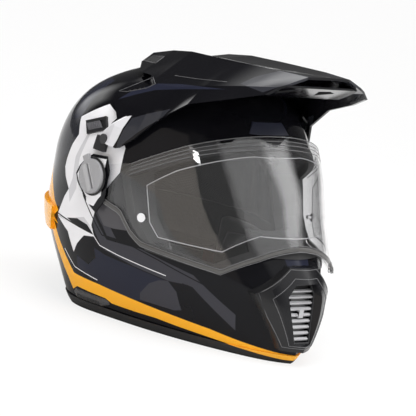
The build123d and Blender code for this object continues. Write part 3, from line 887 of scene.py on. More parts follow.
def joined_rings(name: str, builder: bmesh.types.BMesh, rings: Sequence[Sequence[bmesh.types.BMVert]],
                 closed: bool = False) -> bpy.types.Mesh:
    """Joins rings of vertices into a closed surface.

    Args:
        name: the mesh's name.
        builder: the bmesh that holds the rings.
        rings: the rings, with equal numbers of vertices.
        closed: whether the last ring meets the first; otherwise both ends are capped.

    Returns:
        The mesh.
    """
    count = len(rings[0])
    pairs = list(zip(rings, rings[1:])) + ([(rings[-1], rings[0])] if closed else [])
    for first, second in pairs:
        for k in range(count):
            builder.faces.new((first[k], first[(k + 1) % count], second[(k + 1) % count], second[k]))
    if not closed:
        builder.faces.new(rings[0][::-1])
        builder.faces.new(rings[-1])
    return smooth_mesh(name, builder)


def ribbon(name: str, path: Sequence[Vector], across: Vector, width: float, thickness: float,
           ribs: int = 0) -> bpy.types.Mesh:
    """A flat band along a path, with rounded edges and raised ribs along it.

    Args:
        name: the mesh's name.
        path: points in metres.
        across: the direction of its width.
        width: in mm.
        thickness: in mm.
        ribs: how many raised ribs run along each face.

    Returns:
        The mesh.
    """
    steps = max(8, 4 * ribs)
    section = []
    for k in range(steps + 1):
        share = k / steps
        edge = min(1.0, 6 * min(share, 1 - share)) ** 0.5
        lift = thickness / 2 * edge * (1.0 + (0.16 * math.sin(2 * math.pi * ribs * share) if ribs else 0.0))
        section.append(((share - 0.5) * width, lift))
    section += [(w, -t) for w, t in section[-2:0:-1]]
    builder = bmesh.new()
    rings = []
    for i, point in enumerate(path):
        along = (path[min(i + 1, len(path) - 1)] - path[max(i - 1, 0)]).normalized()
        up = across.cross(along).normalized()
        rings.append([builder.verts.new(point + (across * w + up * t) * MM) for w, t in section])
    return joined_rings(name, builder, rings)


def rounded(points: Sequence[Vector], rounds: int = 3) -> list[Vector]:
    """Rounds the corners of an open path by cutting them.

    Args:
        points: its corners.
        rounds: how many times they are cut.

    Returns:
        The rounded path.
    """
    path = list(points)
    for _ in range(rounds):
        cut = [path[0]]
        for start, end in zip(path, path[1:]):
            cut += [start.lerp(end, 0.25), start.lerp(end, 0.75)]
        path = cut + [path[-1]]
    return path


def draped(name: str, outline: Sequence[Point2], skin: Skin, proud: float, sign: int,
           bevel: float = 0.8, step: float = 4.0) -> bpy.types.Mesh:
    """A thin plate that follows a side surface, with bevelled edges.

    Args:
        name: the mesh's name.
        outline: its corners in mm, (y, z).
        skin: the surface that it lies on.
        proud: how far it stands out, in mm.
        sign: 1 for +X, -1 for -X.
        bevel: the width of its sloping edge in mm.
        step: the longest edge in mm.

    Returns:
        The mesh.
    """
    builder = bmesh.new()
    face = builder.faces.new([builder.verts.new((0.0, y * MM, z * MM)) for y, z in outline])
    bmesh.ops.inset_region(builder, faces=[face], thickness=bevel * MM, use_even_offset=True)
    bmesh.ops.triangulate(builder, faces=builder.faces[:])
    for _ in range(5):
        edges = [edge for edge in builder.edges if edge.calc_length() > step * MM]
        if not edges:
            break
        bmesh.ops.subdivide_edges(builder, edges=edges, cuts=1)
        bmesh.ops.triangulate(builder, faces=builder.faces[:])
    for vert in builder.verts:
        lift = -PLATE_EDGE_SINK if vert.is_boundary else proud
        found = skin.side(vert.co.y / MM, vert.co.z / MM, lift, sign)
        if found is not None:
            vert.co = found
    bmesh.ops.solidify(builder, geom=builder.faces[:], thickness=PLATE_THICKNESS * MM)
    return smooth_mesh(name, builder, smooth=False)


def tube(name: str, path: Sequence[Vector], radius: float, sides: int = 8,
         closed: bool = False) -> bpy.types.Mesh:
    """A round tube along a path.

    Args:
        name: the mesh's name.
        path: points in metres.
        radius: in mm.
        sides: how many sides it has.
        closed: whether the path meets its start.

    Returns:
        The mesh.
    """
    builder = bmesh.new()
    rings = []
    count = len(path)
    for i, point in enumerate(path):
        before = path[i - 1] if i or closed else point
        after = path[(i + 1) % count] if i < count - 1 or closed else point
        along = (after - before).normalized()
        side = along.cross(Vector((0, 0, 1)))
        side = side.normalized() if side.length > 0.05 else Vector((1, 0, 0))
        up = side.cross(along).normalized()
        rings.append([builder.verts.new(point + (side * math.cos(a) + up * math.sin(a)) * radius * MM)
                      for a in (2 * math.pi * k / sides for k in range(sides))])
    return joined_rings(name, builder, rings, closed)


# Studio

@dataclass(frozen=True)
class Card:
    """A soft-edged bright patch of the studio, given by its directions in degrees.

    Azimuth 0 is in front of the helmet, and 90 on its left.
    """

    azimuths: Tuple[float, float]
    heights: Tuple[float, float]
    radiance: float
    soft: float = 5.0
    tint: RGB = (1.0, 1.0, 1.0)

    def light(self, azimuth: Value, height: Value) -> Value:
        """The card's radiance in a direction.

        Args:
            azimuth: in degrees.
            height: in degrees above the floor.

        Returns:
            The radiance.
        """
        middle = (self.azimuths[0] + self.azimuths[1]) / 2
        reach = (self.azimuths[1] - self.azimuths[0]) / 2
        away = azimuth - middle
        away = abs(away - (away / 360.0)._math("ROUND", away / 360.0) * 360.0)
        across = ((reach - away) / self.soft + 0.5).clamped()
        up = ((height - self.heights[0]) / self.soft + 0.5).clamped()
        down = ((self.heights[1] - height) / self.soft + 0.5).clamped()
        return across * up * down * self.radiance


@dataclass
class Lamp:
    """A soft rectangular lamp."""

    name: str
    place: Point3
    aim: Point3
    size: Tuple[float, float]
    power: float

    def build(self) -> None:
        """Adds the lamp to the scene."""
        data = bpy.data.lights.new(self.name, "AREA")
        data.shape = "RECTANGLE"
        data.size, data.size_y = self.size
        data.energy = self.power
        lamp = placed(self.name, data)
        lamp.location = self.place
        lamp.rotation_euler = (Vector(self.aim) - Vector(self.place)).to_track_quat("-Z", "Y").to_euler()
        lamp.visible_glossy = False


@dataclass
class Studio:
    """Camera, floor, world and lamps."""

    focal_pixels: float = 2244.0
    frame_pixels: float = 416.0
    distance: float = 2.2
    turn: float = 43.0
    pitch: float = 15.0
    target: Point3 = (0.0, -0.097, 0.130)
    target_pixel: Tuple[float, float] = (269.0, 217.0)
    centre_pixel: Tuple[float, float] = (208.0, 217.0)
    base: float = 0.07
    glossy_white: float = 0.12
    floor_reach: float = 12.0
    floor_glow: float = 0.8
    lamps: Tuple[Lamp, ...] = (
        Lamp("overhead_softbox", (-0.3, -0.5, 1.8), (0.0, 0.0, 0.15), (1.2, 0.9), 21.0),
    )
    cards: Tuple[Card, ...] = (
        Card((-118.0, -47.0), (-14.0, 46.0), 0.85, soft=2.5, tint=(1.0, 0.93, 0.86)),
        Card((-46.0, -14.0), (2.0, 50.0), 0.22, soft=3.0),
        Card((-46.5, -41.5), (33.0, 38.0), 26.0, soft=1.5),
        Card((-14.0, 69.0), (-2.0, 62.0), 1.25, soft=9.0),
        Card((44.0, 69.0), (-4.0, 58.0), 2.3, soft=9.0),
        Card((136.0, 160.0), (34.0, 56.0), 3.2, soft=9.0),
        Card((166.0, 186.0), (6.0, 27.0), 2.2, soft=8.0),
        Card((-180.0, 180.0), (64.0, 120.0), 2.2, soft=12.0),
    )

    def axes(self) -> Tuple[Vector, Vector, Vector]:
        """The camera's axes.

        Returns:
            Its right, up and viewing directions in the row frame.
        """
        turn, pitch = math.radians(self.turn), math.radians(self.pitch)

        def tilted(x: float, y: float, z: float) -> Vector:
            """Turns a direction down by the camera's pitch."""
            return Vector((x, y * math.cos(pitch) + z * math.sin(pitch),
                           -y * math.sin(pitch) + z * math.cos(pitch)))
        right = tilted(math.cos(turn), -math.sin(turn), 0.0)
        view = tilted(math.sin(turn), math.cos(turn), 0.0)
        return right, tilted(0.0, 0.0, 1.0), view

    @staticmethod
    def seen(graph: Graph, glossy: float) -> Value:
        """How much of the white surround a ray sees.

        Args:
            graph: the graph of a material or the world.
            glossy: the share that a mirrored ray sees.

        Returns:
            The share, 1 for a ray from the camera.
        """
        path = graph.node("ShaderNodeLightPath")
        camera, through, mirrored = (graph.value(path.outputs[f"Is {kind} Ray"])
                                     for kind in ("Camera", "Transmission", "Glossy"))
        return camera.most(through).most(mirrored * glossy)

    def build_camera(self) -> None:
        """Places the camera at the photograph's viewing angle."""
        right, up, view = self.axes()
        data = bpy.data.cameras.new("camera")
        data.sensor_width = 36.0
        data.lens = self.focal_pixels / self.frame_pixels * data.sensor_width
        data.shift_y = (self.centre_pixel[1] - self.frame_pixels / 2) / self.frame_pixels
        data.clip_end = 100.0
        camera = placed("camera", data)
        aside = (self.target_pixel[0] - self.centre_pixel[0]) / self.focal_pixels * self.distance
        where = Vector(self.target) - view * self.distance - right * aside
        basis = Matrix((right, up, -view)).transposed().to_4x4()
        camera.matrix_world = Matrix.Translation(where) @ basis
        bpy.context.scene.camera = camera

    def build_floor(self) -> None:
        """Adds a pale floor that keeps the object's shadow."""
        mesh = bpy.data.meshes.new("floor")
        reach = self.floor_reach
        mesh.from_pydata([(-reach, -reach, 0), (reach, -reach, 0), (reach, reach, 0), (-reach, reach, 0)], [],
                         [(0, 1, 2, 3)])
        floor = placed("floor", mesh)
        material, graph = new_material("floor_paper")
        seen = self.seen(graph, self.glossy_white)
        paper = graph.node("ShaderNodeBsdfDiffuse", None, {0: (0.80, 0.80, 0.80, 1.0)})
        glow = graph.node("ShaderNodeEmission", None, {0: (1.0, 1.0, 1.0, 1.0), 1: 1.0})
        mixed = graph.node("ShaderNodeMixShader", None,
                           {0: seen * self.floor_glow, 1: paper.outputs[0], 2: glow.outputs[0]})
        graph.node("ShaderNodeOutputMaterial", None, {0: mixed.outputs[0]})
        mesh.materials.append(material)

    def build_world(self) -> None:
        """Sets a white surround for the camera and a dim studio with bright cards for light and gloss."""
        world = bpy.data.worlds.new("studio")
        world.use_nodes = True
        bpy.context.scene.world = world
        graph = Graph(world.node_tree)
        towards = graph.node("ShaderNodeTexCoord").outputs["Generated"]
        split = graph.node("ShaderNodeSeparateXYZ", None, {0: towards})
        x, y, z = (graph.value(split.outputs[k]) for k in range(3))
        azimuth = x._math("ARCTAN2", x, -y) * (180 / math.pi)
        height = z._math("ARCSINE", z) * (180 / math.pi)
        light: Link = self.base
        colour: Link = (1.0, 1.0, 1.0, 1.0)
        for card in self.cards:
            glow = card.light(azimuth, height)
            light = glow + light
            if card.tint != (1.0, 1.0, 1.0):
                colour = graph.mix((glow / card.radiance).clamped(), colour, card.tint)
        seen = self.seen(graph, self.glossy_white / 4)
        strength = light * (1.0 - seen) + seen
        back = graph.node("ShaderNodeBackground", None,
                          {0: graph.mix(seen.clamped(), colour, (1.0, 1.0, 1.0)), 1: strength})
        graph.node("ShaderNodeOutputWorld", None, {0: back.outputs[0]})

    def build(self) -> None:
        """Builds the whole studio."""
        self.build_camera()
        self.build_floor()
        self.build_world()
        for lamp in self.lamps:
            lamp.build()
        bpy.context.scene.view_settings.view_transform = "Standard"


# The helmet

SIDES: Tuple[Tuple[str, int], ...] = (("_left", 1), ("_right", -1))


def both(name: str) -> list[str]:
    """The names of a node's left and right twins."""
    return [name + side for side, _ in SIDES]


def soften_edges(names: Iterable[str], width: float = 0.7, angle: float = 28.0) -> None:
    """Rounds the hard edges of CAD nodes with a bevel modifier.

    Args:
        names: the nodes.
        width: the bevel's width in mm.
        angle: the least angle of an edge that is rounded, in degrees.
    """
    for name in names:
        bevel = bpy.data.objects[name].modifiers.new("soft_edges", "BEVEL")
        bevel.width = width * MM
        bevel.segments = 2
        bevel.limit_method = "ANGLE"
        bevel.angle_limit = math.radians(angle)
        bevel.harden_normals = True


def moulded(name: str, colour: RGB, roughness: float, size: float, depth: float) -> Finish:
    """A moulded finish, whose grain has a size and a depth in mm."""
    return Finish(name, colour, roughness, grain=Grain.MOULDED, grain_size=size, grain_depth=depth)


@dataclass
class Paint:
    """Finishes that several sub-assemblies share."""

    shell: Finish = Lacquer("shell_lacquer", BLACK, roughness=0.07, ior=1.25, variation=0.1,
                            areas=shell_areas(), centre=(0.0, 0.0, 110.0))
    peak: Finish = Lacquer("peak_lacquer", BLACK, roughness=0.07, ior=1.3, variation=0.1, areas=peak_areas())
    cover: Finish = Lacquer("cover_lacquer", BLACK, roughness=0.15, ior=1.3, areas=COVER_AREAS)
    duct: Finish = Finish("duct_gloss", BLACK, roughness=0.12, ior=1.3, variation=0.2)
    vent: Finish = Lacquer("vent_frame", (0.012, 0.012, 0.013), roughness=0.24, ior=1.38, grain=Grain.MOULDED,
                           grain_size=0.6, grain_depth=0.03, areas=VENT_AREAS)
    slider: Finish = moulded("slider_moulding", (0.11, 0.11, 0.12), 0.4, 0.8, 0.1)
    # Painted highlight: a grey for thin beads along edges, lighter than the black around them, standing in
    # for light caught by bevels.
    trim: Finish = Finish("painted_edge_highlight", (0.10, 0.10, 0.105), 0.25, variation=0.1)
    spoiler: Finish = Finish("spoiler_lacquer", ORANGE, roughness=0.2, variation=0.04)
    plate: Finish = Finish("plate_lacquer", NAVY, roughness=0.28, ior=1.4)
    dark: Finish = moulded("dark_moulding", (0.014, 0.014, 0.016), 0.38, 0.6, 0.04)
    grey: Finish = moulded("grey_moulding", (0.055, 0.056, 0.060), 0.36, 0.6, 0.04)
    knob: Finish = moulded("knob_moulding", (0.33, 0.33, 0.345), 0.36, 0.5, 0.05)
    pale: Finish = moulded("pale_moulding", (0.42, 0.42, 0.435), 0.30, 0.5, 0.03)
    rubber: Finish = moulded("rubber", (0.010, 0.010, 0.011), 0.6, 0.4, 0.03)
    steel: Finish = Finish("steel", (0.55, 0.55, 0.56), 0.32, metallic=1.0, grain=Grain.BRUSHED,
                           grain_size=0.3, grain_depth=0.01)
    chrome: Finish = Finish("pin_metal", (0.80, 0.80, 0.81), 0.18, metallic=1.0, grain=Grain.BRUSHED,
                            grain_size=0.3, grain_depth=0.005)
    rim: Finish = Lacquer("rim_rubber", (0.010, 0.010, 0.011), 0.5, grain=Grain.MOULDED, grain_size=0.4,
                          grain_depth=0.03, areas=RIM_AREAS)
    foam: Finish = Finish("foam", (0.020, 0.020, 0.022), 0.85, grain=Grain.BEADS, grain_size=3.5,
                          grain_depth=0.25)
    knit: Finish = Cloth("knit", (0.014, 0.014, 0.016), 0.9, grain=Grain.KNIT, grain_size=1.6,
                         grain_depth=0.25, sheen=0.3)
    suede: Finish = Cloth("suede", (0.034, 0.035, 0.040), 0.92, grain=Grain.BRUSHED, grain_size=0.8,
                          grain_depth=0.15, sheen=0.4)
    webbing: Finish = Cloth("webbing", (0.014, 0.014, 0.016), 0.8, grain=Grain.WEAVE, grain_size=1.2,
                            grain_depth=0.2, sheen=0.2)
    thread: Finish = Cloth("thread", (0.10, 0.10, 0.11), 0.8, grain=Grain.WEAVE, grain_size=0.6,
                           grain_depth=0.05, sheen=0.2)
    mesh: Finish = Finish("vent_mesh", (0.012, 0.012, 0.013), 0.6, grain=Grain.MESH, grain_size=1.4,
                          grain_depth=0.4)
    lever: Finish = moulded("lever_red", (0.05, 0.008, 0.008), 0.35, 0.5, 0.03)
    edge: Finish = Finish("visor_edge", (0.16, 0.16, 0.165), 0.12, variation=0.15)
    lip: Finish = Finish("visor_lip", (0.07, 0.068, 0.066), 0.10, variation=0.15)
    clear: ClearPlastic = ClearPlastic("clear_visor")
    lens: ClearPlastic = ClearPlastic("clear_lens", (0.93, 0.93, 0.93), 1.45)
    made: dict[str, bpy.types.Material] = field(default_factory=dict)

    def of(self, name: str) -> bpy.types.Material:
        """The material of a finish, built when it is first asked for.

        Args:
            name: the finish's field name.

        Returns:
            The material.
        """
        if name not in self.made:
            self.made[name] = getattr(self, name).material()
        return self.made[name]


@dataclass
class Part:
    """A sub-assembly of the helmet: the nodes that it dresses and the pieces that it adds."""

    paint: Paint
    body: str = "helmet"

    def dress(self, plan: Mapping[str, Sequence[str]]) -> None:
        """Gives CAD nodes their finishes.

        Args:
            plan: node names by the finish's field name.
        """
        for finish, nodes in plan.items():
            for node in nodes:
                finish_node(node, self.paint.of(finish))
                LOG.info("%s wears %s", node, finish)

    def add(self, name: str, mesh: bpy.types.Mesh, finish: str, slot: str,
            body: str = "") -> bpy.types.Object:
        """Adds a piece with a finish.

        Args:
            name: the piece's name.
            mesh: its mesh.
            finish: the finish's field name.
            slot: the record's material slot; not used.
            body: the body it rides on, if not the sub-assembly's own.

        Returns:
            The piece.
        """
        LOG.info("made %s", name)
        return new_piece(name, mesh, self.paint.of(finish), body or self.body)


@dataclass
class Shell(Part):
    """The painted shell with its rubber rim, corner trims and spoiler."""

    corner: Tuple[Point2, ...] = ((47, 15), (42, 19.5), (3, 19), (-4, 15.5), (8, 9.8), (44, 9.6))
    rib_span: Tuple[float, float] = (12.0, 42.0)
    rib_pitch: float = 2.0
    rib_height: float = 12.6
    rib_lift: float = 1.1
    rib_size: Point3 = (1.0, 0.9, 4.6)

    def corner_ribs(self, skin: Skin, sign: int) -> bpy.types.Mesh:
        """Fine upright ribs on the corner trim.

        Args:
            skin: the shell's surface.
            sign: 1 for +X, -1 for -X.

        Returns:
            The mesh.
        """
        builder = bmesh.new()
        y = self.rib_span[0]
        while y < self.rib_span[1]:
            here, ahead, above = (skin.side(a, b, self.rib_lift, sign)
                                  for a, b in ((y, self.rib_height), (y + 1, self.rib_height),
                                               (y, self.rib_height + 1)))
            along, up = (ahead - here).normalized(), (above - here).normalized()
            add_box(builder, here, (along.cross(up).normalized(), along, up), self.rib_size)
            y += self.rib_pitch
        return smooth_mesh("corner_ribs", builder, smooth=False)

    def build(self) -> None:
        """Dresses the shell and adds its corner trims."""
        self.dress({"shell": ["outer_shell"], "rim": ["rim_trim"], "plate": ["brow_plate"],
                    "spoiler": ["rear_spoiler"], "dark": ["rear_exhaust_cover"]})
        soften_edges(["rear_exhaust_cover", "brow_plate"], 0.6)
        soften_edges(["rear_spoiler"], 3.3)
        skin = Skin("outer_shell")
        for side, sign in SIDES:
            trim = draped("corner_trim", self.corner, skin, 1.0, sign, bevel=1.6)
            self.add("corner_trim" + side, trim, "grey", "rim_rubber")
            self.add("corner_ribs" + side, self.corner_ribs(skin, sign), "dark", "rim_rubber")


@dataclass
class Visor(Part):
    """The clear visor with its lip and bands, the inner lens with its bead, and its pins."""

    body: str = "visor"
    centre_y: float = 20.0
    reach: float = 82.0
    step: float = 2.0
    middle_height: float = 150.0
    lip_width: float = 4.4
    lip_thickness: float = 1.4
    band_drops: Tuple[float, ...] = (0.8, 4.6, 8.0, 12.0)
    band_reach: float = 73.0
    band_radius: float = 0.35
    band_lift: float = 0.2
    edge_lift: float = 0.8
    lip_lift: float = 0.3
    film_gap: float = 0.3
    bead_radius: float = 0.5
    bead_step: float = 1.5

    def edge_height(self, skin: Skin, azimuth: float, outside: float) -> Optional[float]:
        """The height of the visor's edge at an azimuth, found by halving.

        Args:
            skin: the visor's surface.
            azimuth: in degrees from the front.
            outside: a height beyond the edge, in mm.

        Returns:
            The height in mm, or None where the visor has no middle there.
        """
        inside = self.middle_height
        if skin.around(azimuth, inside, self.centre_y) is None:
            return None
        for _ in range(12):
            middle = (inside + outside) / 2
            if skin.around(azimuth, middle, self.centre_y) is None:
                outside = middle
            else:
                inside = middle
        return inside

    def edges(self, skin: Skin) -> list[Tuple[float, float, float]]:
        """The visor's lowest and highest heights by azimuth.

        Args:
            skin: the visor's surface.

        Returns:
            Tuples of an azimuth in degrees, the lowest and the highest z in mm.
        """
        limit = int(self.reach / self.step)
        found = []
        for azimuth in (k * self.step for k in range(-limit, limit + 1)):
            low, high = (self.edge_height(skin, azimuth, z) for z in (40.0, 260.0))
            if low is not None and high is not None:
                found.append((azimuth, low, high))
        return found

    def line(self, skin: Skin, heights: Iterable[Tuple[float, float]], proud: float) -> list[Vector]:
        """Points on the visor at azimuths and heights."""
        found = (skin.around(azimuth, z, self.centre_y, proud) for azimuth, z in heights)
        return [point for point in found if point is not None]

    def lens_pieces(self) -> Tuple[bpy.types.Mesh, bpy.types.Mesh]:
        """The lens as one clear film, and the bead round its edge.

        Returns:
            The film's mesh and the bead's mesh.
        """
        builder = bmesh.new()
        builder.from_mesh(bpy.data.objects["visor_lens"].data)
        bmesh.ops.remove_doubles(builder, verts=builder.verts, dist=1e-6)
        centre = Vector((0.0, self.centre_y * MM, 0.0))
        inner = []
        for face in builder.faces:
            middle = face.calc_center_median()
            away = Vector((middle.x, middle.y - centre.y, 0.0)).normalized()
            if face.normal.dot(away) < 0.4:
                inner.append(face)
        bmesh.ops.delete(builder, geom=inner, context="FACES")
        rim = [edge for edge in builder.edges if edge.is_boundary]
        chain = self.longest_loop(rim)
        bead = tube("lens_bead", chain, self.bead_radius, sides=6, closed=True)
        for vert in builder.verts:
            vert.co += Vector((-vert.co.x, centre.y - vert.co.y, 0.0)).normalized() * self.film_gap * MM
        film = bpy.data.meshes.new("lens_film")
        builder.to_mesh(film)
        builder.free()
        for face in film.polygons:
            face.use_smooth = True
        return film, bead

    def longest_loop(self, edges: Sequence[bmesh.types.BMEdge]) -> list[Vector]:
        """Follows boundary edges.

        Args:
            edges: the edges.

        Returns:
            The points of the longest loop.
        """
        links: dict[bmesh.types.BMVert, list[bmesh.types.BMVert]] = {}
        for edge in edges:
            first, second = edge.verts
            links.setdefault(first, []).append(second)
            links.setdefault(second, []).append(first)
        best: list[Vector] = []
        seen: set[bmesh.types.BMVert] = set()
        for start in links:
            if start in seen:
                continue
            chain, here = [], start
            while here is not None and here not in seen:
                seen.add(here)
                chain.append(here.co.copy())
                here = next((v for v in links[here] if v not in seen), None)
            if len(chain) > len(best):
                best = chain
        thinned = [best[0]]
        for point in best[1:]:
            if (point - thinned[-1]).length > self.bead_step * MM:
                thinned.append(point)
        return thinned

    def build(self) -> None:
        """Dresses the visor and adds its lip, bands, film and bead."""
        self.dress({"clear": ["visor"], "chrome": both("lens_pin"), "rubber": ["eye_port_seal"]})
        skin = Skin("visor")
        edges = self.edges(skin)
        low = self.line(skin, [(a, z + self.lip_width / 2 + 0.3) for a, z, _ in edges], self.lip_lift)
        lip = ribbon("visor_lip", low, Vector((0, 0, 1)), self.lip_width, self.lip_thickness)
        self.add("visor_lip", lip, "lip", "clear_visor")
        for number, rise in enumerate((0.5, self.lip_width + 0.6)):
            line = self.line(skin, [(a, z + rise) for a, z, _ in edges], self.edge_lift)
            edge = tube("visor_lip_edge", line, self.band_radius)
            self.add(f"visor_lip_edge_{number + 1}", edge, "edge", "clear_visor")
        for number, drop in enumerate(self.band_drops):
            heights = [(a, z - drop) for a, _, z in edges if abs(a) < self.band_reach]
            band = tube("visor_band", self.line(skin, heights, self.band_lift), self.band_radius)
            self.add(f"visor_band_{number + 1}", band, "edge", "clear_visor")
        film, bead = self.lens_pieces()
        lens = self.add("lens_film", film, "lens", "clear_lens")
        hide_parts("visor_lens")
        self.add("lens_bead", bead, "pale", "clear_lens")


@dataclass
class ChinVent(Part):
    """The chin vent: a dark frame, pale slats with a tab, a shutter and a mesh."""

    outline: Tuple[Point2, ...] = ((14.0, 78.0), (18.0, 69.5), (10.0, 23.5))
    face: Point2 = (-170.5, 0.273)
    face_low: float = 22.8
    first_slat: float = 26.5
    pitch: float = 5.6
    count: int = 9
    slat: Point2 = (3.4, 2.0)
    tilt: float = 20.0
    tab: Point3 = (6.0, 3.0, 8.0)
    rim: Tuple[Point2, ...] = ((-52, 66), (-18, 94.5), (18, 94.5), (52, 66), (21, 18), (-21, 18))
    lip: Tuple[Point2, ...] = ((-15.2, 86.6), (-37.5, 65.4), (-15.6, 20), (15.6, 20), (37.5, 65.4),
                               (15.2, 86.6))
    bead: float = 0.4
    bead_lift: float = 0.1
    border_overlap: float = 1.5
    border_size: Point2 = (3.0, 1.6)
    chamfer: float = 0.3
    shy: float = 0.97
    mid_z: float = 56.0

    def half_width(self, z: float) -> float:
        """The opening's half width at a height.

        Args:
            z: in mm.

        Returns:
            The half width in mm.
        """
        (top_x, top_z), (mid_x, mid_z), (low_x, low_z) = self.outline
        if z > mid_z:
            return mid_x + (top_x - mid_x) * (z - mid_z) / (top_z - mid_z)
        return low_x + (mid_x - low_x) * (z - low_z) / (mid_z - low_z)

    def front(self, z: float) -> float:
        """The grille's front at a height: its y in mm."""
        return self.face[0] + self.face[1] * (z - self.face_low)

    def grille(self) -> bpy.types.Mesh:
        """The slats and their tab.

        Returns:
            The mesh.
        """
        builder = bmesh.new()
        tilt = math.radians(self.tilt)
        side, back = Vector((1, 0, 0)), Vector((0, math.cos(tilt), math.sin(tilt)))
        up = side.cross(back)
        depth, thickness = self.slat
        for k in range(self.count):
            z = self.first_slat + self.pitch * k
            middle = Vector((0, self.front(z) + depth / 2 * math.cos(tilt), z + depth / 2 * math.sin(tilt)))
            add_box(builder, middle * MM, (side, back, up), (2 * self.half_width(z), depth, thickness))
        z = (self.outline[0][1] + self.outline[2][1]) / 2
        upright = (side, Vector((0, 1, 0)), Vector((0, 0, 1)))
        add_box(builder, Vector((0, self.front(z), z)) * MM, upright, self.tab)
        bmesh.ops.bevel(builder, geom=builder.edges[:], offset=self.chamfer * MM, segments=1, affect="EDGES")
        return smooth_mesh("chin_grille", builder, smooth=False)

    def border(self) -> bpy.types.Mesh:
        """The dark border round the slats.

        Returns:
            The mesh.
        """
        builder = bmesh.new()
        ring = list(self.outline) + [(-x, z) for x, z in reversed(self.outline)]
        for (ax, az), (bx, bz) in zip(ring, ring[1:] + ring[:1]):
            start, end = Vector((ax, self.front(az), az)), Vector((bx, self.front(bz), bz))
            along = (end - start).normalized()
            wide = along.cross(Vector((0, 1, 0))).normalized()
            add_box(builder, (start + end) / 2 * MM, (along, wide.cross(along), wide),
                    ((end - start).length + self.border_overlap, *self.border_size))
        bmesh.ops.bevel(builder, geom=builder.edges[:], offset=self.chamfer * MM, segments=1, affect="EDGES")
        return smooth_mesh("chin_grille_border", builder, smooth=False)

    def outlined(self, skin: Skin, corners: Sequence[Point2], proud: float) -> list[Vector]:
        """Points along a closed outline of the front view, on the frame.

        Args:
            skin: the frame's surface.
            corners: in mm, (x, z).
            proud: how far outside the surface, in mm.

        Returns:
            The points in metres.
        """
        found = (skin.front(x * self.shy, self.mid_z + (z - self.mid_z) * self.shy, proud)
                 for x, z in walked(corners, 10))
        return [point for point in found if point is not None]

    def build(self) -> None:
        """Dresses the frame and puts in the detailed grille."""
        self.dress({"vent": ["chin_vent_frame"], "dark": ["chin_vent_shutter"], "mesh": ["chin_vent_mesh"]})
        skin = Skin("chin_vent_frame")
        soften_edges(["chin_vent_frame"], 0.9)
        grille = self.add("chin_grille", self.grille(), "pale", "vent_slats")
        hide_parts("chin_vent_grille")
        self.add("chin_grille_border", self.border(), "dark", "vent_slats")
        # The rim and lip beads wear the paler trim grey: painted highlight on the frame's edges.
        for name, corners in (("rim", self.rim), ("lip", self.lip)):
            line = self.outlined(skin, corners, self.bead_lift)
            bead = tube("chin_vent_bead", line, self.bead, 6, closed=True)
            self.add(f"chin_vent_{name}_bead", bead, "trim", "vent_frame")


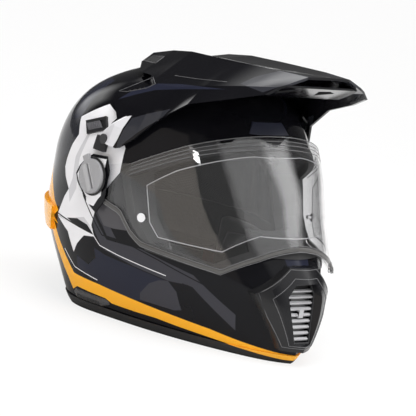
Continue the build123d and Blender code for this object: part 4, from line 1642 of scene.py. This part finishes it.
@dataclass
class SideControls(Part):
    """Side covers, pivot bosses, knobs and temple vents."""

    pivot: Point2 = (20.0, 140.0)
    knob_angle: float = 33.0
    rail: Point3 = (1.8, 1.9, 25.0)
    grip: Point3 = (2.2, 6.2, 27.0)
    slot_width: float = 2.7
    dot: Point3 = (0.9, 0.8, 0.8)
    dot_pitch: float = 1.5
    dot_reach: float = 15.2
    ring_radius: float = 18.2
    ring_bead: float = 1.1
    ring_points: int = 40
    knurl_count: int = 44
    knurl: Point3 = (2.2, 1.0, 0.8)
    knurl_radius: float = 16.6
    chamfer: float = 0.4
    rail_sink: float = 0.3
    knurl_sink: float = 1.9
    ring_sink: float = 3.6

    def rails(self, sign: int, face: float) -> bpy.types.Mesh:
        """The raised grip and rail beside a knob's slot, and the rough field behind the grip.

        Args:
            sign: 1 for +X, -1 for -X.
            face: the knob's outer face, in metres from the middle.

        Returns:
            The mesh.
        """
        builder = bmesh.new()
        angle = math.radians(self.knob_angle)
        along = Vector((0, math.sin(angle), math.cos(angle)))
        aside = Vector((0, math.cos(angle), -math.sin(angle)))
        centre = Vector((sign * face, self.pivot[0] * MM, self.pivot[1] * MM))
        for way, size in ((-1, self.rail), (1, self.grip)):
            offset = way * (self.slot_width + size[1]) / 2
            add_box(builder, centre + aside * offset * MM, (Vector((1, 0, 0)), aside, along), size)
        bmesh.ops.bevel(builder, geom=builder.edges[:], offset=self.chamfer * MM, segments=2, affect="EDGES")
        first = self.slot_width / 2 + self.grip[1] + self.dot_pitch
        rows = int(self.dot_reach / self.dot_pitch)
        for column in range(int((self.dot_reach - first) / self.dot_pitch) + 1):
            for row in range(-rows, rows + 1):
                across, high = first + column * self.dot_pitch, (row + column % 2 / 2) * self.dot_pitch
                if math.hypot(across, high) < self.dot_reach:
                    add_box(builder, centre + (aside * across + along * high) * MM,
                            (Vector((1, 0, 0)), aside, along), self.dot)
        return smooth_mesh("knob_rails", builder, smooth=False)

    def ring(self, sign: int, reach: float) -> list[Vector]:
        """Points round a knob's foot.

        Args:
            sign: 1 for +X, -1 for -X.
            reach: the ring's distance from the middle plane, in metres.

        Returns:
            The points in metres.
        """
        turns = (2 * math.pi * k / self.ring_points for k in range(self.ring_points))
        return [Vector((sign * reach, (self.pivot[0] + self.ring_radius * math.cos(a)) * MM,
                        (self.pivot[1] + self.ring_radius * math.sin(a)) * MM)) for a in turns]

    def knurls(self, sign: int, reach: float) -> bpy.types.Mesh:
        """Fine ribs round the edge of a knob.

        Args:
            sign: 1 for +X, -1 for -X.
            reach: the ribs' distance from the middle plane, in metres.

        Returns:
            The mesh.
        """
        builder = bmesh.new()
        for k in range(self.knurl_count):
            angle = 2 * math.pi * k / self.knurl_count
            out = Vector((0, math.cos(angle), math.sin(angle)))
            around = Vector((0, -math.sin(angle), math.cos(angle)))
            middle = Vector((sign * reach, self.pivot[0] * MM, self.pivot[1] * MM))
            centre = middle + out * self.knurl_radius * MM
            add_box(builder, centre, (Vector((1, 0, 0)), out, around), self.knurl)
        return smooth_mesh("knob_knurls", builder, smooth=False)

    def build(self) -> None:
        """Dresses the controls and adds the knobs' rails."""
        self.dress({"cover": both("side_cover"), "dark": [*both("pivot_boss"), *both("temple_vent_base")],
                    "knob": both("side_knob"), "slider": both("temple_vent_slider")})
        soften_edges([*both("side_cover"), *both("side_knob"), *both("temple_vent_base"),
                      *both("temple_vent_slider")], 0.5)
        for side, sign in SIDES:
            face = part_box("side_knob_left")[1][0]
            rails = self.rails(sign, face - self.rail_sink * MM)
            self.add("knob_rails" + side, rails, "pale", "knob", "knob" + side)
            knurls = self.knurls(sign, face - self.knurl_sink * MM)
            self.add("knob_knurls" + side, knurls, "knob", "knob", "knob" + side)
            # The dark ring round the knob's foot is partly a dark skirt and partly painted shadow of the
            # knob.
            ring = tube("knob_ring", self.ring(sign, face - self.ring_sink * MM), self.ring_bead, closed=True)
            self.add("knob_ring" + side, ring, "rubber", "side_cover")


@dataclass
class Peak(Part):
    """The peak with its duct panel, mounts and screws."""

    scoop: Tuple[Point2, ...] = ((52, 233), (46, 240), (15, 242), (2, 238), (8, 232), (27, 224), (44, 221),
                                 (51, 226))
    window: Tuple[Point2, ...] = ((70, 249), (63, 255), (40, 259), (38, 252))
    crease: Tuple[Point2, ...] = ((-8, 249), (-35, 252), (-84, 259))
    line_lift: float = 0.1
    plate_lift: float = 0.35
    rim_radius: float = 0.35
    crease_radius: float = 0.4

    def on_side(self, skin: Skin, points: Sequence[Point2], sign: int, closed: bool) -> list[Vector]:
        """Points along a line of the side view, on the peak.

        Args:
            skin: the peak's surface.
            points: in mm, (y, z).
            sign: 1 for +X, -1 for -X.
            closed: whether the line meets its start.

        Returns:
            The points in metres.
        """
        found = (skin.side(y, z, self.line_lift, sign) for y, z in walked(points, 6, closed))
        return [point for point in found if point is not None]

    def build(self) -> None:
        """Dresses the peak and its fixings, and adds its scoops."""
        fixings = [*both("peak_mount"), *both("peak_screw")]
        self.dress({"peak": ["peak"], "duct": ["peak_duct_panel"], "dark": fixings})
        skin = Skin("peak")
        soften_edges(["peak", "peak_duct_panel", *fixings], 0.6, 20.0)
        for side, sign in SIDES:
            # The grey tubes round the scoop and the window and along the crease are painted highlight on
            # those edges.
            for name, outline in (("scoop", self.scoop), ("window", self.window)):
                plate = draped("peak_" + name, outline, skin, self.plate_lift, sign, bevel=0.6)
                self.add(f"peak_{name}{side}", plate, "rubber", "peak_panel")
                line = self.on_side(skin, outline, sign, True)
                rim = tube("peak_rim", line, self.rim_radius, 6, closed=True)
                self.add(f"peak_{name}_rim{side}", rim, "trim", "peak_panel")
            line = self.on_side(skin, self.crease, sign, False)
            crease = tube("peak_crease", line, self.crease_radius, 6)
            self.add(f"peak_crease{side}", crease, "trim", "peak")


@dataclass
class Linings(Part):
    """Foam liners, padded fabric, the curtain and the breath guard."""

    voxel: float = 5.0
    frames: int = 16
    pressure: float = 3.0
    cap: float = 2.0
    shrink: float = 1.2
    seam_centre: Point3 = (0, 20, 110)
    seam_turns: Tuple[int, ...] = (-50, -25, 0, 25, 50)
    piping: Tuple[Point2, ...] = ((-52, 26), (-56, 50), (-50, 80), (-30, 85), (0, 85), (22, 82), (28, 60),
                                  (26, 30), (0, 20), (-30, 20), (-50, 25))

    def soft_copy(self, node: str, voxel: float) -> bpy.types.Mesh:
        """A remeshed copy of a CAD solid, swollen like a sewn pad.

        Args:
            node: the CAD solid's name.
            voxel: the remesh size in mm.

        Returns:
            The mesh.
        """
        work = placed(node + "_work", bpy.data.objects[node].data.copy())
        remesh = work.modifiers.new("remesh", "REMESH")
        remesh.mode = "VOXEL"
        remesh.voxel_size = voxel * MM
        ease = work.modifiers.new("ease", "SMOOTH")
        ease.iterations = 4
        ease.factor = 0.5
        mesh = bpy.data.meshes.new_from_object(work.evaluated_get(bpy.context.evaluated_depsgraph_get()))
        work.modifiers.clear()
        work.data = mesh
        self.swell(work)
        mesh = work.data
        bpy.data.objects.remove(work)
        return mesh

    def swell(self, work: bpy.types.Object) -> None:
        """Swells a closed mesh with a short cloth simulation, within the cap.

        Args:
            work: the object, whose mesh is changed.
        """
        rest = [vert.co - vert.normal * self.shrink * MM for vert in work.data.vertices]
        for vert, place in zip(work.data.vertices, rest):
            vert.co = place
        cloth = work.modifiers.new("cloth", "CLOTH")
        cloth.settings.use_pressure = True
        cloth.settings.uniform_pressure_force = self.pressure
        cloth.settings.effector_weights.gravity = 0.0
        cloth.settings.quality = 4
        cloth.point_cache.frame_end = self.frames
        scene = bpy.context.scene
        for frame in range(1, self.frames + 1):
            scene.frame_set(frame)
        shaped = work.evaluated_get(bpy.context.evaluated_depsgraph_get()).data
        places = [vert.co.copy() for vert in shaped.vertices]
        work.modifiers.clear()
        scene.frame_set(1)
        limit = (self.cap + self.shrink) * MM
        for vert, start, end in zip(work.data.vertices, rest, places):
            move = end - start
            if move.length > limit:
                move *= limit / move.length
            vert.co = start + move

    def pad(self, node: str, finish: str, slot: str, fill: float, voxel: float = 0.0) -> bpy.types.Object:
        """Replaces a CAD soft solid with a padded piece.

        Args:
            node: the CAD solid's name.
            finish: the finish's field name.
            slot: the record's material slot.
            fill: how full the pad is, from 0 to 1; not used.
            voxel: the remesh size in mm, if not the usual one.

        Returns:
            The piece.
        """
        piece = self.add(node + "_pad", self.soft_copy(node, voxel or self.voxel), finish, slot)
        for face in piece.data.polygons:
            face.use_smooth = True
        rounds = piece.modifiers.new("rounds", "SUBSURF")
        rounds.levels = rounds.render_levels = 1
        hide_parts(node)
        return piece

    def seam(self, name: str, target: bpy.types.Object, rays: Sequence[Tuple[Vector, Vector]],
             radius: float = 0.9) -> None:
        """Lays piping on a pad along the points where rays meet it.

        Args:
            name: the piece's name.
            target: the pad.
            rays: origins and directions.
            radius: the piping's radius in mm.
        """
        tree = BVHTree.FromObject(target, bpy.context.evaluated_depsgraph_get())
        path = []
        for origin, direction in rays:
            hit, _, _, _ = tree.ray_cast(origin, direction)
            if hit is not None:
                path.append(hit - direction * 0.2 * MM)
        if len(path) > 2:
            self.add(name, tube(name, path, radius, sides=6), "thread", "pad_fabric")

    def build(self) -> None:
        """Dresses the foam and replaces the soft solids."""
        self.dress({"foam": ["impact_liner", "chin_impact_liner"], "rubber": ["breath_guard"]})
        liner = self.pad("comfort_liner", "knit", "liner_fabric", 0.4, 6.0)
        for number, angle in enumerate(self.seam_turns):
            turn = math.radians(angle)
            over = Vector((math.sin(turn), 0, math.cos(turn)))
            rays = [(Vector(self.seam_centre) * MM, over * math.sin(a) - Vector((0, math.cos(a), 0)))
                    for a in map(math.radians, range(62, 160, 4))]
            self.seam(f"liner_seam_{number + 1}", liner, rays, 0.8)
        for side, sign in SIDES:
            pad = self.pad("cheek_pad" + side, "suede", "pad_fabric", 0.7)
            rays = [(Vector((0, y, z)) * MM, Vector((sign, 0, 0)))
                    for y, z in walked(self.piping, 6, closed=False)]
            self.seam("cheek_piping" + side, pad, rays)
        self.pad("neck_roll", "suede", "roll_fabric", 0.6)
        self.pad("chin_curtain", "knit", "curtain_fabric", 0.1, 1.6)


@dataclass
class Straps(Part):
    """Chin strap webbing with stitching, steel anchors and the buckle."""

    path: Tuple[Point2, ...] = ((114.3, 59.0), (107.9, 37.0), (92.0, 9.1), (88.0, 6.6), (67.5, 6.6),
                                (63.5, 12.6), (63.5, 58.0))
    thickness: float = 2.0
    ribs: int = 5
    stitch_share: float = 0.36
    stitch_lift: float = 1.1
    stitch_radius: float = 0.3

    def build(self) -> None:
        """Dresses the hardware and replaces the strap solids with webbing."""
        self.dress({"steel": [*both("strap_anchor"), *both("strap_rivet")],
                    "dark": ["buckle_housing", "buckle_tongue"], "lever": ["buckle_lever"]})
        soften_edges(["buckle_housing", "buckle_tongue", "buckle_lever", *both("strap_anchor")], 0.4)
        for side, sign in SIDES:
            low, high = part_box("strap" + side)
            middle, width = (low[1] + high[1]) / 2, (high[1] - low[1]) / MM
            line = rounded([Vector((sign * x * MM, middle, z * MM)) for x, z in self.path])
            across = Vector((0, 1, 0))
            mesh = ribbon("webbing", line, across, width, self.thickness, self.ribs)
            band = self.add("webbing" + side, mesh, "webbing", "webbing")
            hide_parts("strap" + side)
            for number, way in enumerate((-1, 1)):
                row = []
                for i, point in enumerate(line):
                    along = (line[min(i + 1, len(line) - 1)] - line[max(i - 1, 0)]).normalized()
                    lift = across.cross(along).normalized() * sign * self.stitch_lift * MM
                    row.append(point + across * way * width * self.stitch_share * MM + lift)
                stitches = tube("strap_stitches", row, self.stitch_radius, sides=5)
                self.add(f"strap_stitches_{number + 1}{side}", stitches, "thread", "webbing")


def main() -> None:
    """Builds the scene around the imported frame."""
    logging.basicConfig(level=logging.INFO, format="%(name)s: %(message)s")
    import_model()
    Studio().build()
    paint = Paint()
    for part in (Shell, Visor, ChinVent, SideControls, Peak, Linings, Straps):
        LOG.info("building %s", part.__name__.lower())
        part(paint).build()


if __name__ == "__main__":
    main()
